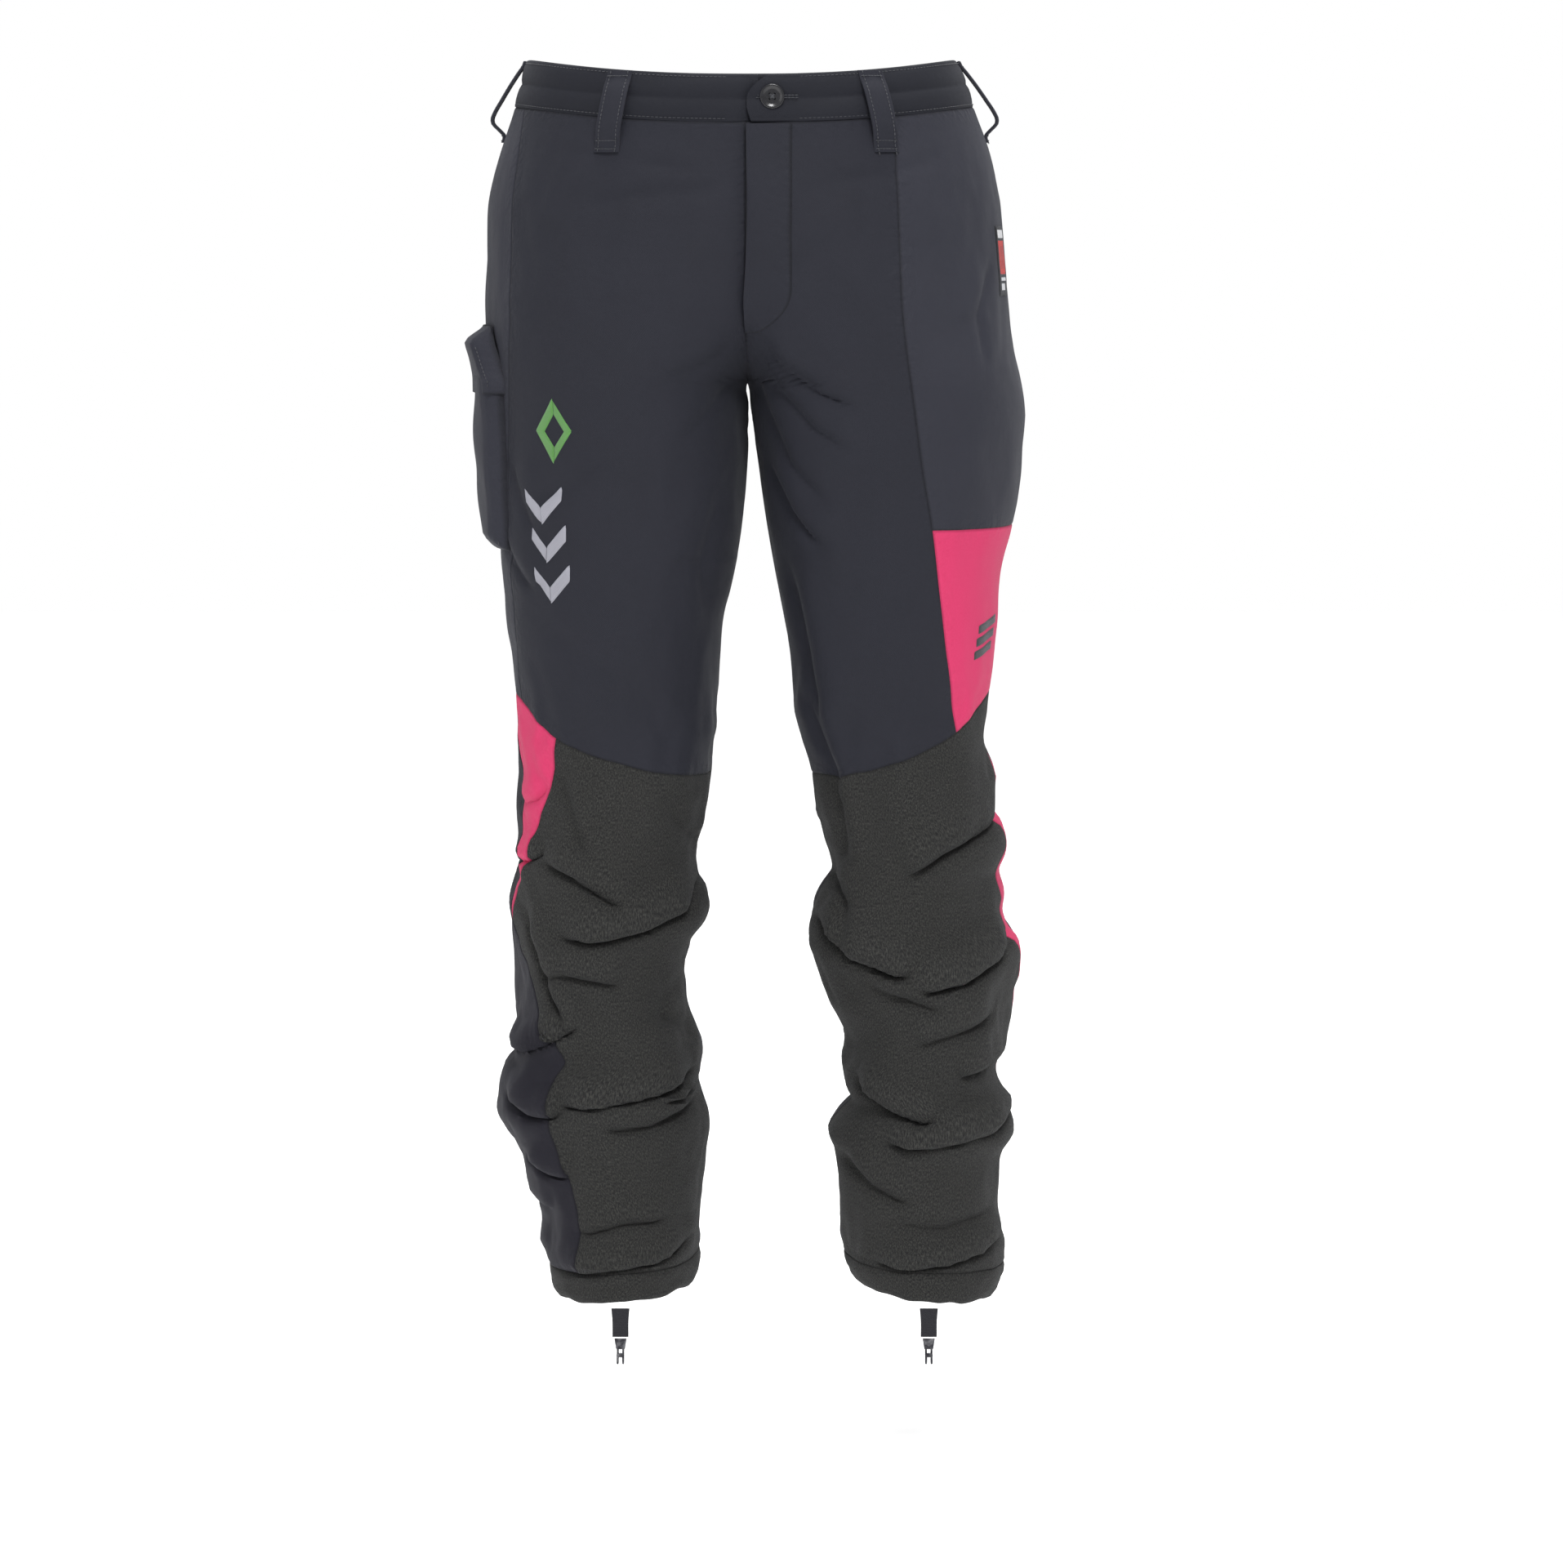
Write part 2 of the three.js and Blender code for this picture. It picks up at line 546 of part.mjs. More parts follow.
// ---------- belt loops ----------
// A strip across the body's curve: its side view is a list of distance out and height.
function strip(side, u, outline, width) {
  const across = normalAt(side, u, outline[0][1]).cross(new THREE.Vector3(0, 0, 1));
  const positions = [];
  for (const end of [-width / 2, width / 2]) {
    for (const [off, z] of outline) {
      positions.push(...onBody(side, u, z, off).addScaledVector(across, end).toArray());
    }
  }
  const n = outline.length;
  const contour = outline.map(([off, z]) => new THREE.Vector2(off, z));
  const faces = [];
  for (const [a, b, c] of THREE.ShapeUtils.triangulateShape(contour, [])) {
    faces.push(a, b, c, a + n, c + n, b + n);
  }
  const turn = THREE.ShapeUtils.isClockWise(contour) ? -1 : 1;
  for (let i = 0; i < n; i += 1) {
    const j = (i + 1) % n;
    if (turn > 0) faces.push(i, i + n, j + n, i, j + n, j);
    else faces.push(i, j, j + n, i, j + n, i + n);
  }
  return facingOut(positions, faces);
}

const LOOP_CLEAR = 0.6; // under the sewn ends
// A loop lies on the cloth at both ends and stands off between them.
function beltLoop(name, side, u, stand) {
  const top = bandTop(u) - 1;
  const end = top - LOOP_LENGTH;
  const foot = BAND_OUT + LOOP_CLEAR;
  const t = LOOP_THICK;
  const sewn = 8;
  const shoulder = 8;
  const outline = [[foot, top], [foot, top - sewn], [stand - t, top - sewn - shoulder],
    [stand - t, end + sewn + shoulder], [foot, end + sewn], [foot, end], [foot + t, end],
    [foot + t, end + sewn - 1], [stand, end + sewn + shoulder - 1], [stand, top - sewn - shoulder + 1],
    [foot + t, top - sewn + 1], [foot + t, top]];
  add(name, strip(side, u, outline, LOOP_WIDTH), 'slate');
}
const FRONT_LOOP_X = 97;
for (const side of ['right', 'left']) {
  beltLoop(`belt_loop_front_${side}`, side, uForX(side, FRONT_LOOP_X, -40), LOOP_STAND);
  beltLoop(`belt_loop_side_${side}`, side, 0.5, SIDE_LOOP_STAND);
  beltLoop(`belt_loop_back_${side}`, side, 0.8, LOOP_STAND);
}
beltLoop('belt_loop_centre_back', 'right', 1, LOOP_STAND);

// ---------- fly: placket, zip, shield ----------
// The zip runs straight down behind the placket, leaning back towards its foot.
const ZIP_X = 9;
const zipTop = bandBottomFront - 3;
const ZIP_SET_BACK = 9.5; // behind the cloth, at both ends
const zipHead = onBody('left', uForX('left', ZIP_X, zipTop), zipTop, 0);
const zipFoot = onBody('left', uForX('left', ZIP_X, zipTop - ZIP_LENGTH), zipTop - ZIP_LENGTH, 0);
const zipLean = Math.atan2(zipFoot.y - zipHead.y, ZIP_LENGTH);
// A group whose x runs across the zip, y backwards and z up along it.
const zip = new THREE.Group();
zip.position.set(ZIP_X, zipHead.y + ZIP_SET_BACK, zipTop);
zip.rotation.x = zipLean;
garment.add(zip);

function addTo(group, name, geometry, colour) {
  const mesh = add(name, geometry, colour);
  group.add(mesh);
  return mesh;
}

const TAPE_THICK = 0.8;
const TAPE_TAIL = 2.7; // tape past each end of the chain
const CHAIN_THICK = 1.8;
const zipGap = 0.3;
const chain = new THREE.BoxGeometry(CHAIN_WIDTH, CHAIN_THICK, ZIP_LENGTH);
chain.translate(0, -TAPE_THICK / 2 - zipGap - CHAIN_THICK / 2, -ZIP_LENGTH / 2);
addTo(zip, 'zip_chain', chain, 'plastic');
for (const side of ['right', 'left']) {
  const tape = new THREE.BoxGeometry(TAPE_WIDTH, TAPE_THICK, ZIP_LENGTH + 2 * TAPE_TAIL);
  tape.translate(SIGN[side] * (TAPE_WIDTH / 2 + zipGap / 2), 0, -ZIP_LENGTH / 2);
  addTo(zip, `zip_tape_${side}`, tape, 'band');
}
// The slider is a channel that rides over the chain, above the tapes.
const SLIDER_LENGTH = 12;
const sliderWall = 1.1;
const chainFront = -TAPE_THICK / 2 - zipGap - CHAIN_THICK;
const sliderFront = chainFront - zipGap - sliderWall;
const sliderFoot = -TAPE_THICK / 2 - zipGap;
const halfIn = CHAIN_WIDTH / 2 + zipGap;
const halfOut = halfIn + sliderWall;
const channel = new THREE.Shape([[-halfOut, sliderFront], [halfOut, sliderFront], [halfOut, sliderFoot],
  [halfIn, sliderFoot], [halfIn, chainFront - zipGap], [-halfIn, chainFront - zipGap],
  [-halfIn, sliderFoot], [-halfOut, sliderFoot]].map(([x, y]) => new THREE.Vector2(x, y)));
const sliderBody = new THREE.ExtrudeGeometry(channel, { depth: SLIDER_LENGTH, bevelEnabled: false });
sliderBody.translate(0, 0, -SLIDER_LENGTH - 1);
const bridgeWall = 0.8; // the arch that holds the pull
const bridgeGap = 1.8;
const arch = new THREE.Shape([[0, 0], [0, 8], [-bridgeGap - bridgeWall, 8], [-bridgeGap - bridgeWall, 0]]
  .map(([x, y]) => new THREE.Vector2(x, y)));
arch.holes.push(new THREE.Path([[-0.01, bridgeWall], [-bridgeGap, bridgeWall], [-bridgeGap, 8 - bridgeWall],
  [-0.01, 8 - bridgeWall]].map(([x, y]) => new THREE.Vector2(x, y))));
const ARCH_WIDTH = 2;
const archSolid = new THREE.ExtrudeGeometry(arch, { depth: ARCH_WIDTH, bevelEnabled: false });
// drawn x goes forwards, drawn y up the zip, drawn z across it
archSolid.applyMatrix4(new THREE.Matrix4().makeBasis(
  new THREE.Vector3(0, 1, 0), new THREE.Vector3(0, 0, 1), new THREE.Vector3(1, 0, 0),
));
archSolid.translate(-ARCH_WIDTH / 2, sliderFront + 0.2, -SLIDER_LENGTH + 1);
const slider = solidOf(sliderBody).add(solidOf(archSolid));
addTo(zip, 'zip_slider', geometryOf(slider), 'metal');
// The pull is a flat tab with an eye round the arch.
const PULL_LENGTH = 16;
const PULL_WIDTH = 6;
const PULL_THICK = 0.8;
const pullOutline = new THREE.Shape();
pullOutline.moveTo(-PULL_WIDTH / 2, 0);
pullOutline.lineTo(PULL_WIDTH / 2, 0);
pullOutline.lineTo(PULL_WIDTH / 2 - 1, -PULL_LENGTH);
pullOutline.lineTo(-PULL_WIDTH / 2 + 1, -PULL_LENGTH);
pullOutline.closePath();
const eye = new THREE.Path();
const eyeHalf = ARCH_WIDTH / 2 + 0.4;
eye.moveTo(-eyeHalf, -1.2);
eye.lineTo(-eyeHalf, -3.2);
eye.lineTo(eyeHalf, -3.2);
eye.lineTo(eyeHalf, -1.2);
eye.closePath();
pullOutline.holes.push(eye);
const pull = new THREE.ExtrudeGeometry(pullOutline, { depth: PULL_THICK, bevelEnabled: false });
// drawn y stays along the zip, the thickness goes forwards
pull.applyMatrix4(new THREE.Matrix4().makeBasis(
  new THREE.Vector3(1, 0, 0), new THREE.Vector3(0, 0, 1), new THREE.Vector3(0, -1, 0),
));
pull.translate(0, sliderFront - 0.4, -SLIDER_LENGTH + 3.6);
addTo(zip, 'zip_pull', pull, 'metal');
const stop = new THREE.BoxGeometry(CHAIN_WIDTH + 2, CHAIN_THICK + 1.4, 3);
stop.translate(0, sliderFoot - CHAIN_THICK / 2 - 0.4, -ZIP_LENGTH - 2.2);
addTo(zip, 'zip_bottom_stop', stop, 'metal');
const SHIELD_THICK = 1.2;
const shield = new THREE.BoxGeometry(PLACKET_WIDTH + 8, SHIELD_THICK, ZIP_LENGTH + 8);
shield.translate(2, TAPE_THICK / 2 + LAYER_GAP - 0.4 + SHIELD_THICK / 2, -ZIP_LENGTH / 2 - 1);
addTo(zip, 'fly_shield', shield, 'band');

// The placket covers the zip; its edge bends into the foot of the stitching.
const placketTop = waistSeam(0) - PLACKET_START;
const placketBottom = placketTop - PLACKET_LENGTH;
const PLACKET_BEND = 30;
function placketEdge(z) {
  const t = THREE.MathUtils.clamp((placketBottom + PLACKET_BEND - z) / PLACKET_BEND, 0, 1);
  const x = THREE.MathUtils.lerp(PLACKET_WIDTH, PLACKET_WIDTH * 0.5, t * t);
  return uForX('left', x, z);
}
add('fly_placket', cloth({
  side: 'left', from: fixed(0), to: placketEdge, top: fixed(placketTop), bottom: fixed(placketBottom),
  out: fixed(PROUD + FABRIC), into: fixed(PROUD), column: 9,
}), 'slate');

// ---------- hand pocket bags ----------
const BAG_THICK = 1.6;
for (const side of ['right', 'left']) {
  const [from, to] = [0.36, 0.5];
  const bagTop = (s) => waistSeam(THREE.MathUtils.lerp(from, to, s)) - 0.1;
  add(`hand_pocket_bag_${side}`, cloth({
    side, from: fixed(from), to: fixed(to), top: bagTop, bottom: fixed(height(225)),
    out: padOut, into: (z) => padOut(z) - BAG_THICK,
  }), 'lining');
}

// ---------- cargo pocket and its flap ----------
// A pocket stands off the panel and is open at the top.
function pocket({ side, from, to, top, drop, depth }) {
  const wall = FABRIC;
  const skin = cloth({ side, from: fixed(from), to: fixed(to), top: fixed(top), bottom: fixed(top - drop),
    out: fixed(PROUD + depth), into: fixed(PROUD), column: 15 });
  const middle = top - drop / 2;
  const inset = (wall + SEAM_GAP / 2) / girth(side, middle);
  const hollow = cloth({ side, from: fixed(from + inset), to: fixed(to - inset), top: fixed(top + 12),
    bottom: fixed(top - drop + wall + SEAM_GAP / 2), out: fixed(PROUD + depth - wall),
    into: fixed(PROUD + wall), column: 15 });
  return geometryOf(solidOf(skin).subtract(solidOf(hollow)));
}
const FLAP_CLEAR = 1.8; // between a flap and the pocket behind it
// A flap leaves the panel at its top edge and hangs in front of the pocket.
function flap({ side, from, to, top, drop, depth }) {
  const rise = 14; // the part that slopes out over the pocket's mouth
  const off = (z) => THREE.MathUtils.lerp(PROUD, PROUD + depth + FLAP_CLEAR,
    THREE.MathUtils.smoothstep(top - z, 0, rise));
  const cols = 8;
  const steps = [0, 4, 9, rise, (rise + drop) / 2, drop];
  const outer = [];
  const inner = [];
  for (const step of steps) {
    const z = top - step;
    const us = Array.from({ length: cols + 1 }, (_, j) => THREE.MathUtils.lerp(from, to, j / cols));
    inner.push(us.map((u) => onBody(side, u, z, off(z))));
    outer.push(us.map((u) => onBody(side, u, z, off(z) + FABRIC)));
  }
  return closedGrid(outer, inner);
}
// The flap over a pocket starts above it and is a little wider.
const flapOver = (spec, lift) => flap({
  ...spec, from: spec.from - 0.005, to: spec.to + 0.005, top: spec.top + lift, drop: FLAP_DROP,
});
const CARGO = { side: 'right', from: 0.415, to: 0.595, top: -222, drop: POCKET_HEIGHT, depth: POCKET_DEPTH };
add('cargo_pocket', pocket(CARGO), 'slate');
add('cargo_flap', flapOver(CARGO, 22), 'slate');
const SEAT = {
  side: 'right', from: 0.69, to: 0.86, top: -102, drop: BACK_POCKET_HEIGHT, depth: BACK_POCKET_DEPTH,
};
add('back_pocket', pocket(SEAT), 'slate');
add('back_pocket_flap', flapOver(SEAT, 18), 'slate');

// ---------- label and emblems ----------
const patch = (side, from, to, top, bottom) => cloth({
  side, from: fixed(from), to: fixed(to), top: fixed(top), bottom: fixed(bottom),
  out: fixed(PROUD + 0.6), into: fixed(PROUD), column: 9,
});
add('side_label', patch('left', 0.385, 0.43, -125, -177), 'label');
add('thigh_emblem', patch('right', 0.285, 0.36, -247, -392), 'silver');
add('panel_emblem', patch('left', 0.385, 0.455, -418, -449), 'label');

// ---------- boot straps with their lace hooks ----------
const STRAP_THICK = 1.6;
const TIE_GAP = 0.9; // lets the strap and the hook swing
for (const side of ['right', 'left']) {
  const u = 0.25;
  const frontPoint = onBody(side, u, HEM_Z, (BAND_OUT + BAND_IN) / 2);
  const tie = new THREE.Group();
  tie.position.set(frontPoint.x, frontPoint.y, HEM_Z - TIE_GAP);
  garment.add(tie);
  const strap = new THREE.BoxGeometry(STRAP_WIDTH, STRAP_THICK, STRAP_LENGTH);
  strap.translate(0, 0, -STRAP_LENGTH / 2);
  addTo(tie, `boot_strap_${side}`, strap, 'band');
  const wire = 2;
  const hook = new THREE.Shape([[0, 0], [0, -HOOK_LENGTH], [-wire * 4, -HOOK_LENGTH],
    [-wire * 4, -HOOK_LENGTH / 2], [-wire * 3, -HOOK_LENGTH / 2], [-wire * 3, wire - HOOK_LENGTH],
    [-wire, wire - HOOK_LENGTH], [-wire, 0]].map(([x, y]) => new THREE.Vector2(x, y)));
  const HOOK_WIDTH = 6;
  const hookGeometry = new THREE.ExtrudeGeometry(hook, { depth: HOOK_WIDTH, bevelEnabled: false });
  hookGeometry.applyMatrix4(new THREE.Matrix4().makeBasis(
    new THREE.Vector3(0, 1, 0), new THREE.Vector3(0, 0, 1), new THREE.Vector3(1, 0, 0),
  ));
  hookGeometry.translate(-HOOK_WIDTH / 2, wire / 2, -STRAP_LENGTH - TIE_GAP);
  addTo(tie, `lace_hook_${side}`, hookGeometry, 'metal');
}

export default garment;
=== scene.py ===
# Chainsaw protective trousers in the shape they have when worn: a slate stretch weave above
# the knee, a coarse heathered weave on the shins, navy knit behind the calves and pink inserts.
import math

import bmesh
import bpy
import numpy as np
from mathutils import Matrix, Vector, noise


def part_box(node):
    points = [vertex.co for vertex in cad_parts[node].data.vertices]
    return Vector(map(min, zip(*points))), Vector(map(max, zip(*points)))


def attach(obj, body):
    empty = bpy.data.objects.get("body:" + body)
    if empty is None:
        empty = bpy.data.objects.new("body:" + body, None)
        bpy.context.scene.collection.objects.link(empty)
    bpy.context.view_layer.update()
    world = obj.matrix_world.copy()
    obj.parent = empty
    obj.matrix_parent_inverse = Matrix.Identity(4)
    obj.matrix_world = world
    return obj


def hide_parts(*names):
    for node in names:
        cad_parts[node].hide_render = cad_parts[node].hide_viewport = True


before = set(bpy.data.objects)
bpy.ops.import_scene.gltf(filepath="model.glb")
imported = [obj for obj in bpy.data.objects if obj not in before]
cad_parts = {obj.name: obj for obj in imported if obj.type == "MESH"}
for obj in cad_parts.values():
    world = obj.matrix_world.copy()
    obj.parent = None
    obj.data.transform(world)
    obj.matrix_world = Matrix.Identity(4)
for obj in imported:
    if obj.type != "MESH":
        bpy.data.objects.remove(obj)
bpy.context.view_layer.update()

# ---------- making and selecting things ----------
def new_object(name, data):
    piece = bpy.data.objects.new(name, data)
    bpy.context.scene.collection.objects.link(piece)
    return piece


def select_only(piece):
    bpy.ops.object.select_all(action="DESELECT")
    bpy.context.view_layer.objects.active = piece
    piece.select_set(True)


def primitive(kind, name, **how):
    bpy.ops.object.select_all(action="DESELECT")
    getattr(bpy.ops.mesh, f"primitive_{kind}_add")(**how)
    piece = bpy.context.object
    piece.name = name
    return piece


def apply_modifier(piece, kind, **how):
    select_only(piece)
    modifier = piece.modifiers.new(kind.lower(), kind)
    for key, value in how.items():
        setattr(modifier, key, value)
    bpy.ops.object.modifier_apply(modifier=modifier.name)


def join(parts):
    """Joins the parts into the first one."""
    select_only(parts[0])
    for part in parts:
        part.select_set(True)
    bpy.ops.object.join()
    return bpy.context.object


def face_outward(piece):
    select_only(piece)
    bpy.ops.object.mode_set(mode="EDIT")
    bpy.ops.mesh.select_all(action="SELECT")
    bpy.ops.mesh.normals_make_consistent(inside=False)
    bpy.ops.object.mode_set(mode="OBJECT")


def slice_mesh(shape, place, direction):
    everything = shape.verts[:] + shape.edges[:] + shape.faces[:]
    bmesh.ops.bisect_plane(shape, geom=everything, plane_co=place, plane_no=direction)


def aim(thing, target):
    thing.rotation_euler = (Vector(target) - thing.location).to_track_quat("-Z", "Y").to_euler()


def feed(node, inputs):
    """Gives each input of a node a value, or links it from an output."""
    for key, value in inputs.items():
        if isinstance(value, bpy.types.NodeSocket):
            node.id_data.links.new(value, node.inputs[key])
        else:
            node.inputs[key].default_value = value
    return node


def add_node(tree, kind, inputs=(), **properties):
    node = tree.nodes.new("ShaderNode" + kind)
    for key, value in properties.items():
        setattr(node, key, value)
    return feed(node, dict(inputs))


def new_material(name):
    material = bpy.data.materials.new(name)
    material.use_nodes = True
    return material, material.node_tree, material.node_tree.nodes["Principled BSDF"]


# ---------- camera, floor and light ----------
# A long lens at hip height looks slightly down. The floor and the surroundings are white,
# and the light is broad and soft, a little stronger from the front.
bpy.ops.object.select_all(action="DESELECT")
bpy.ops.object.camera_add(location=(0.026, -3.9, -0.12))
camera = bpy.context.object
aim(camera, (0.026, 0, -0.552))
camera.data.lens = 117
camera.data.sensor_width = 36
bpy.context.scene.camera = camera

WHITE = (1, 1, 1, 1)
FLOOR_HEIGHT = -1.07
bpy.ops.mesh.primitive_plane_add(size=14, location=(0, 1.5, FLOOR_HEIGHT))
floor = bpy.context.object
floor.name = "studio_floor"
floor_paint, _, floor_shader = new_material("studio_floor")
feed(floor_shader, {"Base Color": (0.93, 0.93, 0.93, 1), "Roughness": 0.9, "Emission Color": WHITE,
                    "Emission Strength": 0.4})
floor.data.materials.append(floor_paint)

# the cloth is lit by a softer white than the one the camera sees behind it
world = bpy.data.worlds.new("studio")
world.use_nodes = True
sky = world.node_tree
soft_fill = feed(sky.nodes["Background"], {"Color": WHITE, "Strength": 0.62})
white_behind = add_node(sky, "Background", {"Color": WHITE, "Strength": 1.0})
seen = add_node(sky, "LightPath")
either = add_node(sky, "MixShader", {0: seen.outputs["Is Camera Ray"], 1: soft_fill.outputs[0],
                                     2: white_behind.outputs[0]})
feed(sky.nodes["World Output"], {"Surface": either.outputs[0]})
bpy.context.scene.world = world
bpy.context.scene.view_settings.view_transform = "Standard"

for lamp_name, lamp_place, lamp_size, lamp_power in (
    ("key_light", (0.5, -2.5, 2.3), 1.1, 105),
    ("fill_light", (-2.2, -2.4, 0.4), 2.0, 18),
    ("top_light", (0.2, 0.2, 2.4), 1.6, 75),
):
    bpy.ops.object.light_add(type="AREA", location=lamp_place)
    lamp = bpy.context.object
    lamp.name = lamp_name
    lamp.data.size = lamp_size
    lamp.data.energy = lamp_power
    aim(lamp, (0, 0, -0.5))

# ---------- the hang of the garment ----------
# The worn shape of both legs and the seat. All cloth below is cut from this surface: u runs
# from the centre front round the outer side to the centre back, and depth is millimetres
# below the waist.
RIGHT, LEFT = SIDES = ("right", "left")
SIGN = {RIGHT: -1, LEFT: 1}
ROUNDNESS = 2.25
CROTCH = 240
HEM = 945
# depth, right leg's outer and inner side, left leg's inner and outer side
GIRTH = [
    (0, 165, -165, -157, 157), (40, 176, -168, -164, 172), (76, 188, -163, -161, 185),
    (107, 195, -149, -147, 192), (150, 198, -111, -111, 196), (180, 199, -76, -76, 199),
    (205, 198, -42, -44, 202), (225, 195, -15, -15, 205), (240, 194, 0, 0, 208),
    (262, 193, 1, 4, 211), (300, 191, 1, 9, 209), (330, 190, 3, 13, 206), (350, 189, 5, 16, 202),
    (380, 188, 10, 21, 195), (400, 186, 15, 25, 192), (425, 184, 20, 30, 191), (450, 180, 22, 35, 189),
    (475, 178, 24, 37, 187), (493, 178, 25, 38, 185), (518, 177, 27, 45, 183), (543, 175, 29, 52, 190),
    (568, 178, 33, 54, 187), (581, 178, 36, 57, 195), (593, 177, 39, 60, 198), (606, 177, 41, 64, 196),
    (619, 179, 40, 65, 192), (631, 182, 34, 59, 197), (656, 183, 36, 50, 198), (669, 182, 45, 49, 206),
    (694, 179, 50, 54, 208), (719, 178, 49, 65, 204), (745, 175, 40, 76, 202), (757, 176, 38, 75, 200),
    (770, 187, 39, 74, 192), (782, 191, 40, 77, 193), (795, 192, 37, 83, 203), (808, 192, 32, 71, 203),
    (820, 188, 31, 63, 206), (833, 181, 33, 67, 199), (858, 170, 35, 71, 196), (883, 160, 38, 73, 194),
    (908, 158, 39, 74, 196), (927, 151, 39, 77, 196), (945, 148, 43, 86, 190),
]
# depth, front and back
FRONT_AND_BACK = [
    (0, -114, 112), (40, -118, 116), (76, -121, 122), (107, -124, 130), (150, -126, 137),
    (180, -127, 137), (205, -126, 133), (225, -125, 127), (240, -124, 122), (262, -122, 115),
    (300, -119, 106), (350, -114, 97), (400, -108, 89), (450, -103, 81), (500, -100, 76),
    (550, -96, 76), (603, -90, 82), (654, -86, 88), (706, -82, 90), (757, -80, 88),
    (809, -80, 88), (861, -80, 84), (905, -80, 80), (945, -82, 74),
]


def smooth_through(rows, column, at):
    """A smooth curve through one column of rows, read at the depths at."""
    depths = np.array([row[0] for row in rows], float)
    values = np.array([row[column] for row in rows], float)
    slopes = np.gradient(values, depths)
    at = np.clip(at, depths[0], depths[-1])
    i = np.clip(np.searchsorted(depths, at, side="right") - 1, 0, len(depths) - 2)
    span = depths[i + 1] - depths[i]
    t = (at - depths[i]) / span
    start = (2 * t**3 - 3 * t**2 + 1) * values[i] + (t**3 - 2 * t**2 + t) * span * slopes[i]
    return start + (3 * t**2 - 2 * t**3) * values[i + 1] + (t**3 - t**2) * span * slopes[i + 1]


def eased(t):
    """From 0 to 1 with a smooth start and end."""
    t = np.clip(t, 0, 1)
    return t * t * (3 - 2 * t)


def ridge(s, centre, width):
    """A rounded ridge across a fold."""
    return np.exp(-(((s - centre * width) / width) ** 2))


def worn_surface(side, u, depth):
    """Points of the smooth body in millimetres, and the way out of it."""
    outer_column, inner_column = (1, 2) if side == RIGHT else (4, 3)
    outer = smooth_through(GIRTH, outer_column, depth)
    inner = smooth_through(GIRTH, inner_column, depth)
    front = smooth_through(FRONT_AND_BACK, 1, depth)
    back = smooth_through(FRONT_AND_BACK, 2, depth)
    centre, half_wide = (outer + inner) / 2, (outer - inner) / 2
    middle, half_deep = (front + back) / 2, (back - front) / 2
    reach = np.clip(centre / half_wide, 0, 1) ** (ROUNDNESS / 2)
    start = np.where(depth < CROTCH, np.arccos(reach), 0)
    angle = start + u * 2 * (math.pi - start)
    c, s = np.cos(angle), np.sin(angle)
    px = -np.sign(c) * np.abs(c) ** (2 / ROUNDNESS)
    py = -np.sign(s) * np.abs(s) ** (2 / ROUNDNESS)
    nx = np.sign(px) * np.abs(px) ** (ROUNDNESS - 1) / half_wide
    ny = np.sign(py) * np.abs(py) ** (ROUNDNESS - 1) / half_deep
    size = np.hypot(nx, ny)
    points = np.stack([SIGN[side] * (centre + half_wide * px), middle + half_deep * py, -depth + 0 * u], -1)
    outward = np.stack([SIGN[side] * nx / size, ny / size, 0 * depth + 0 * u], -1)
    return points, outward


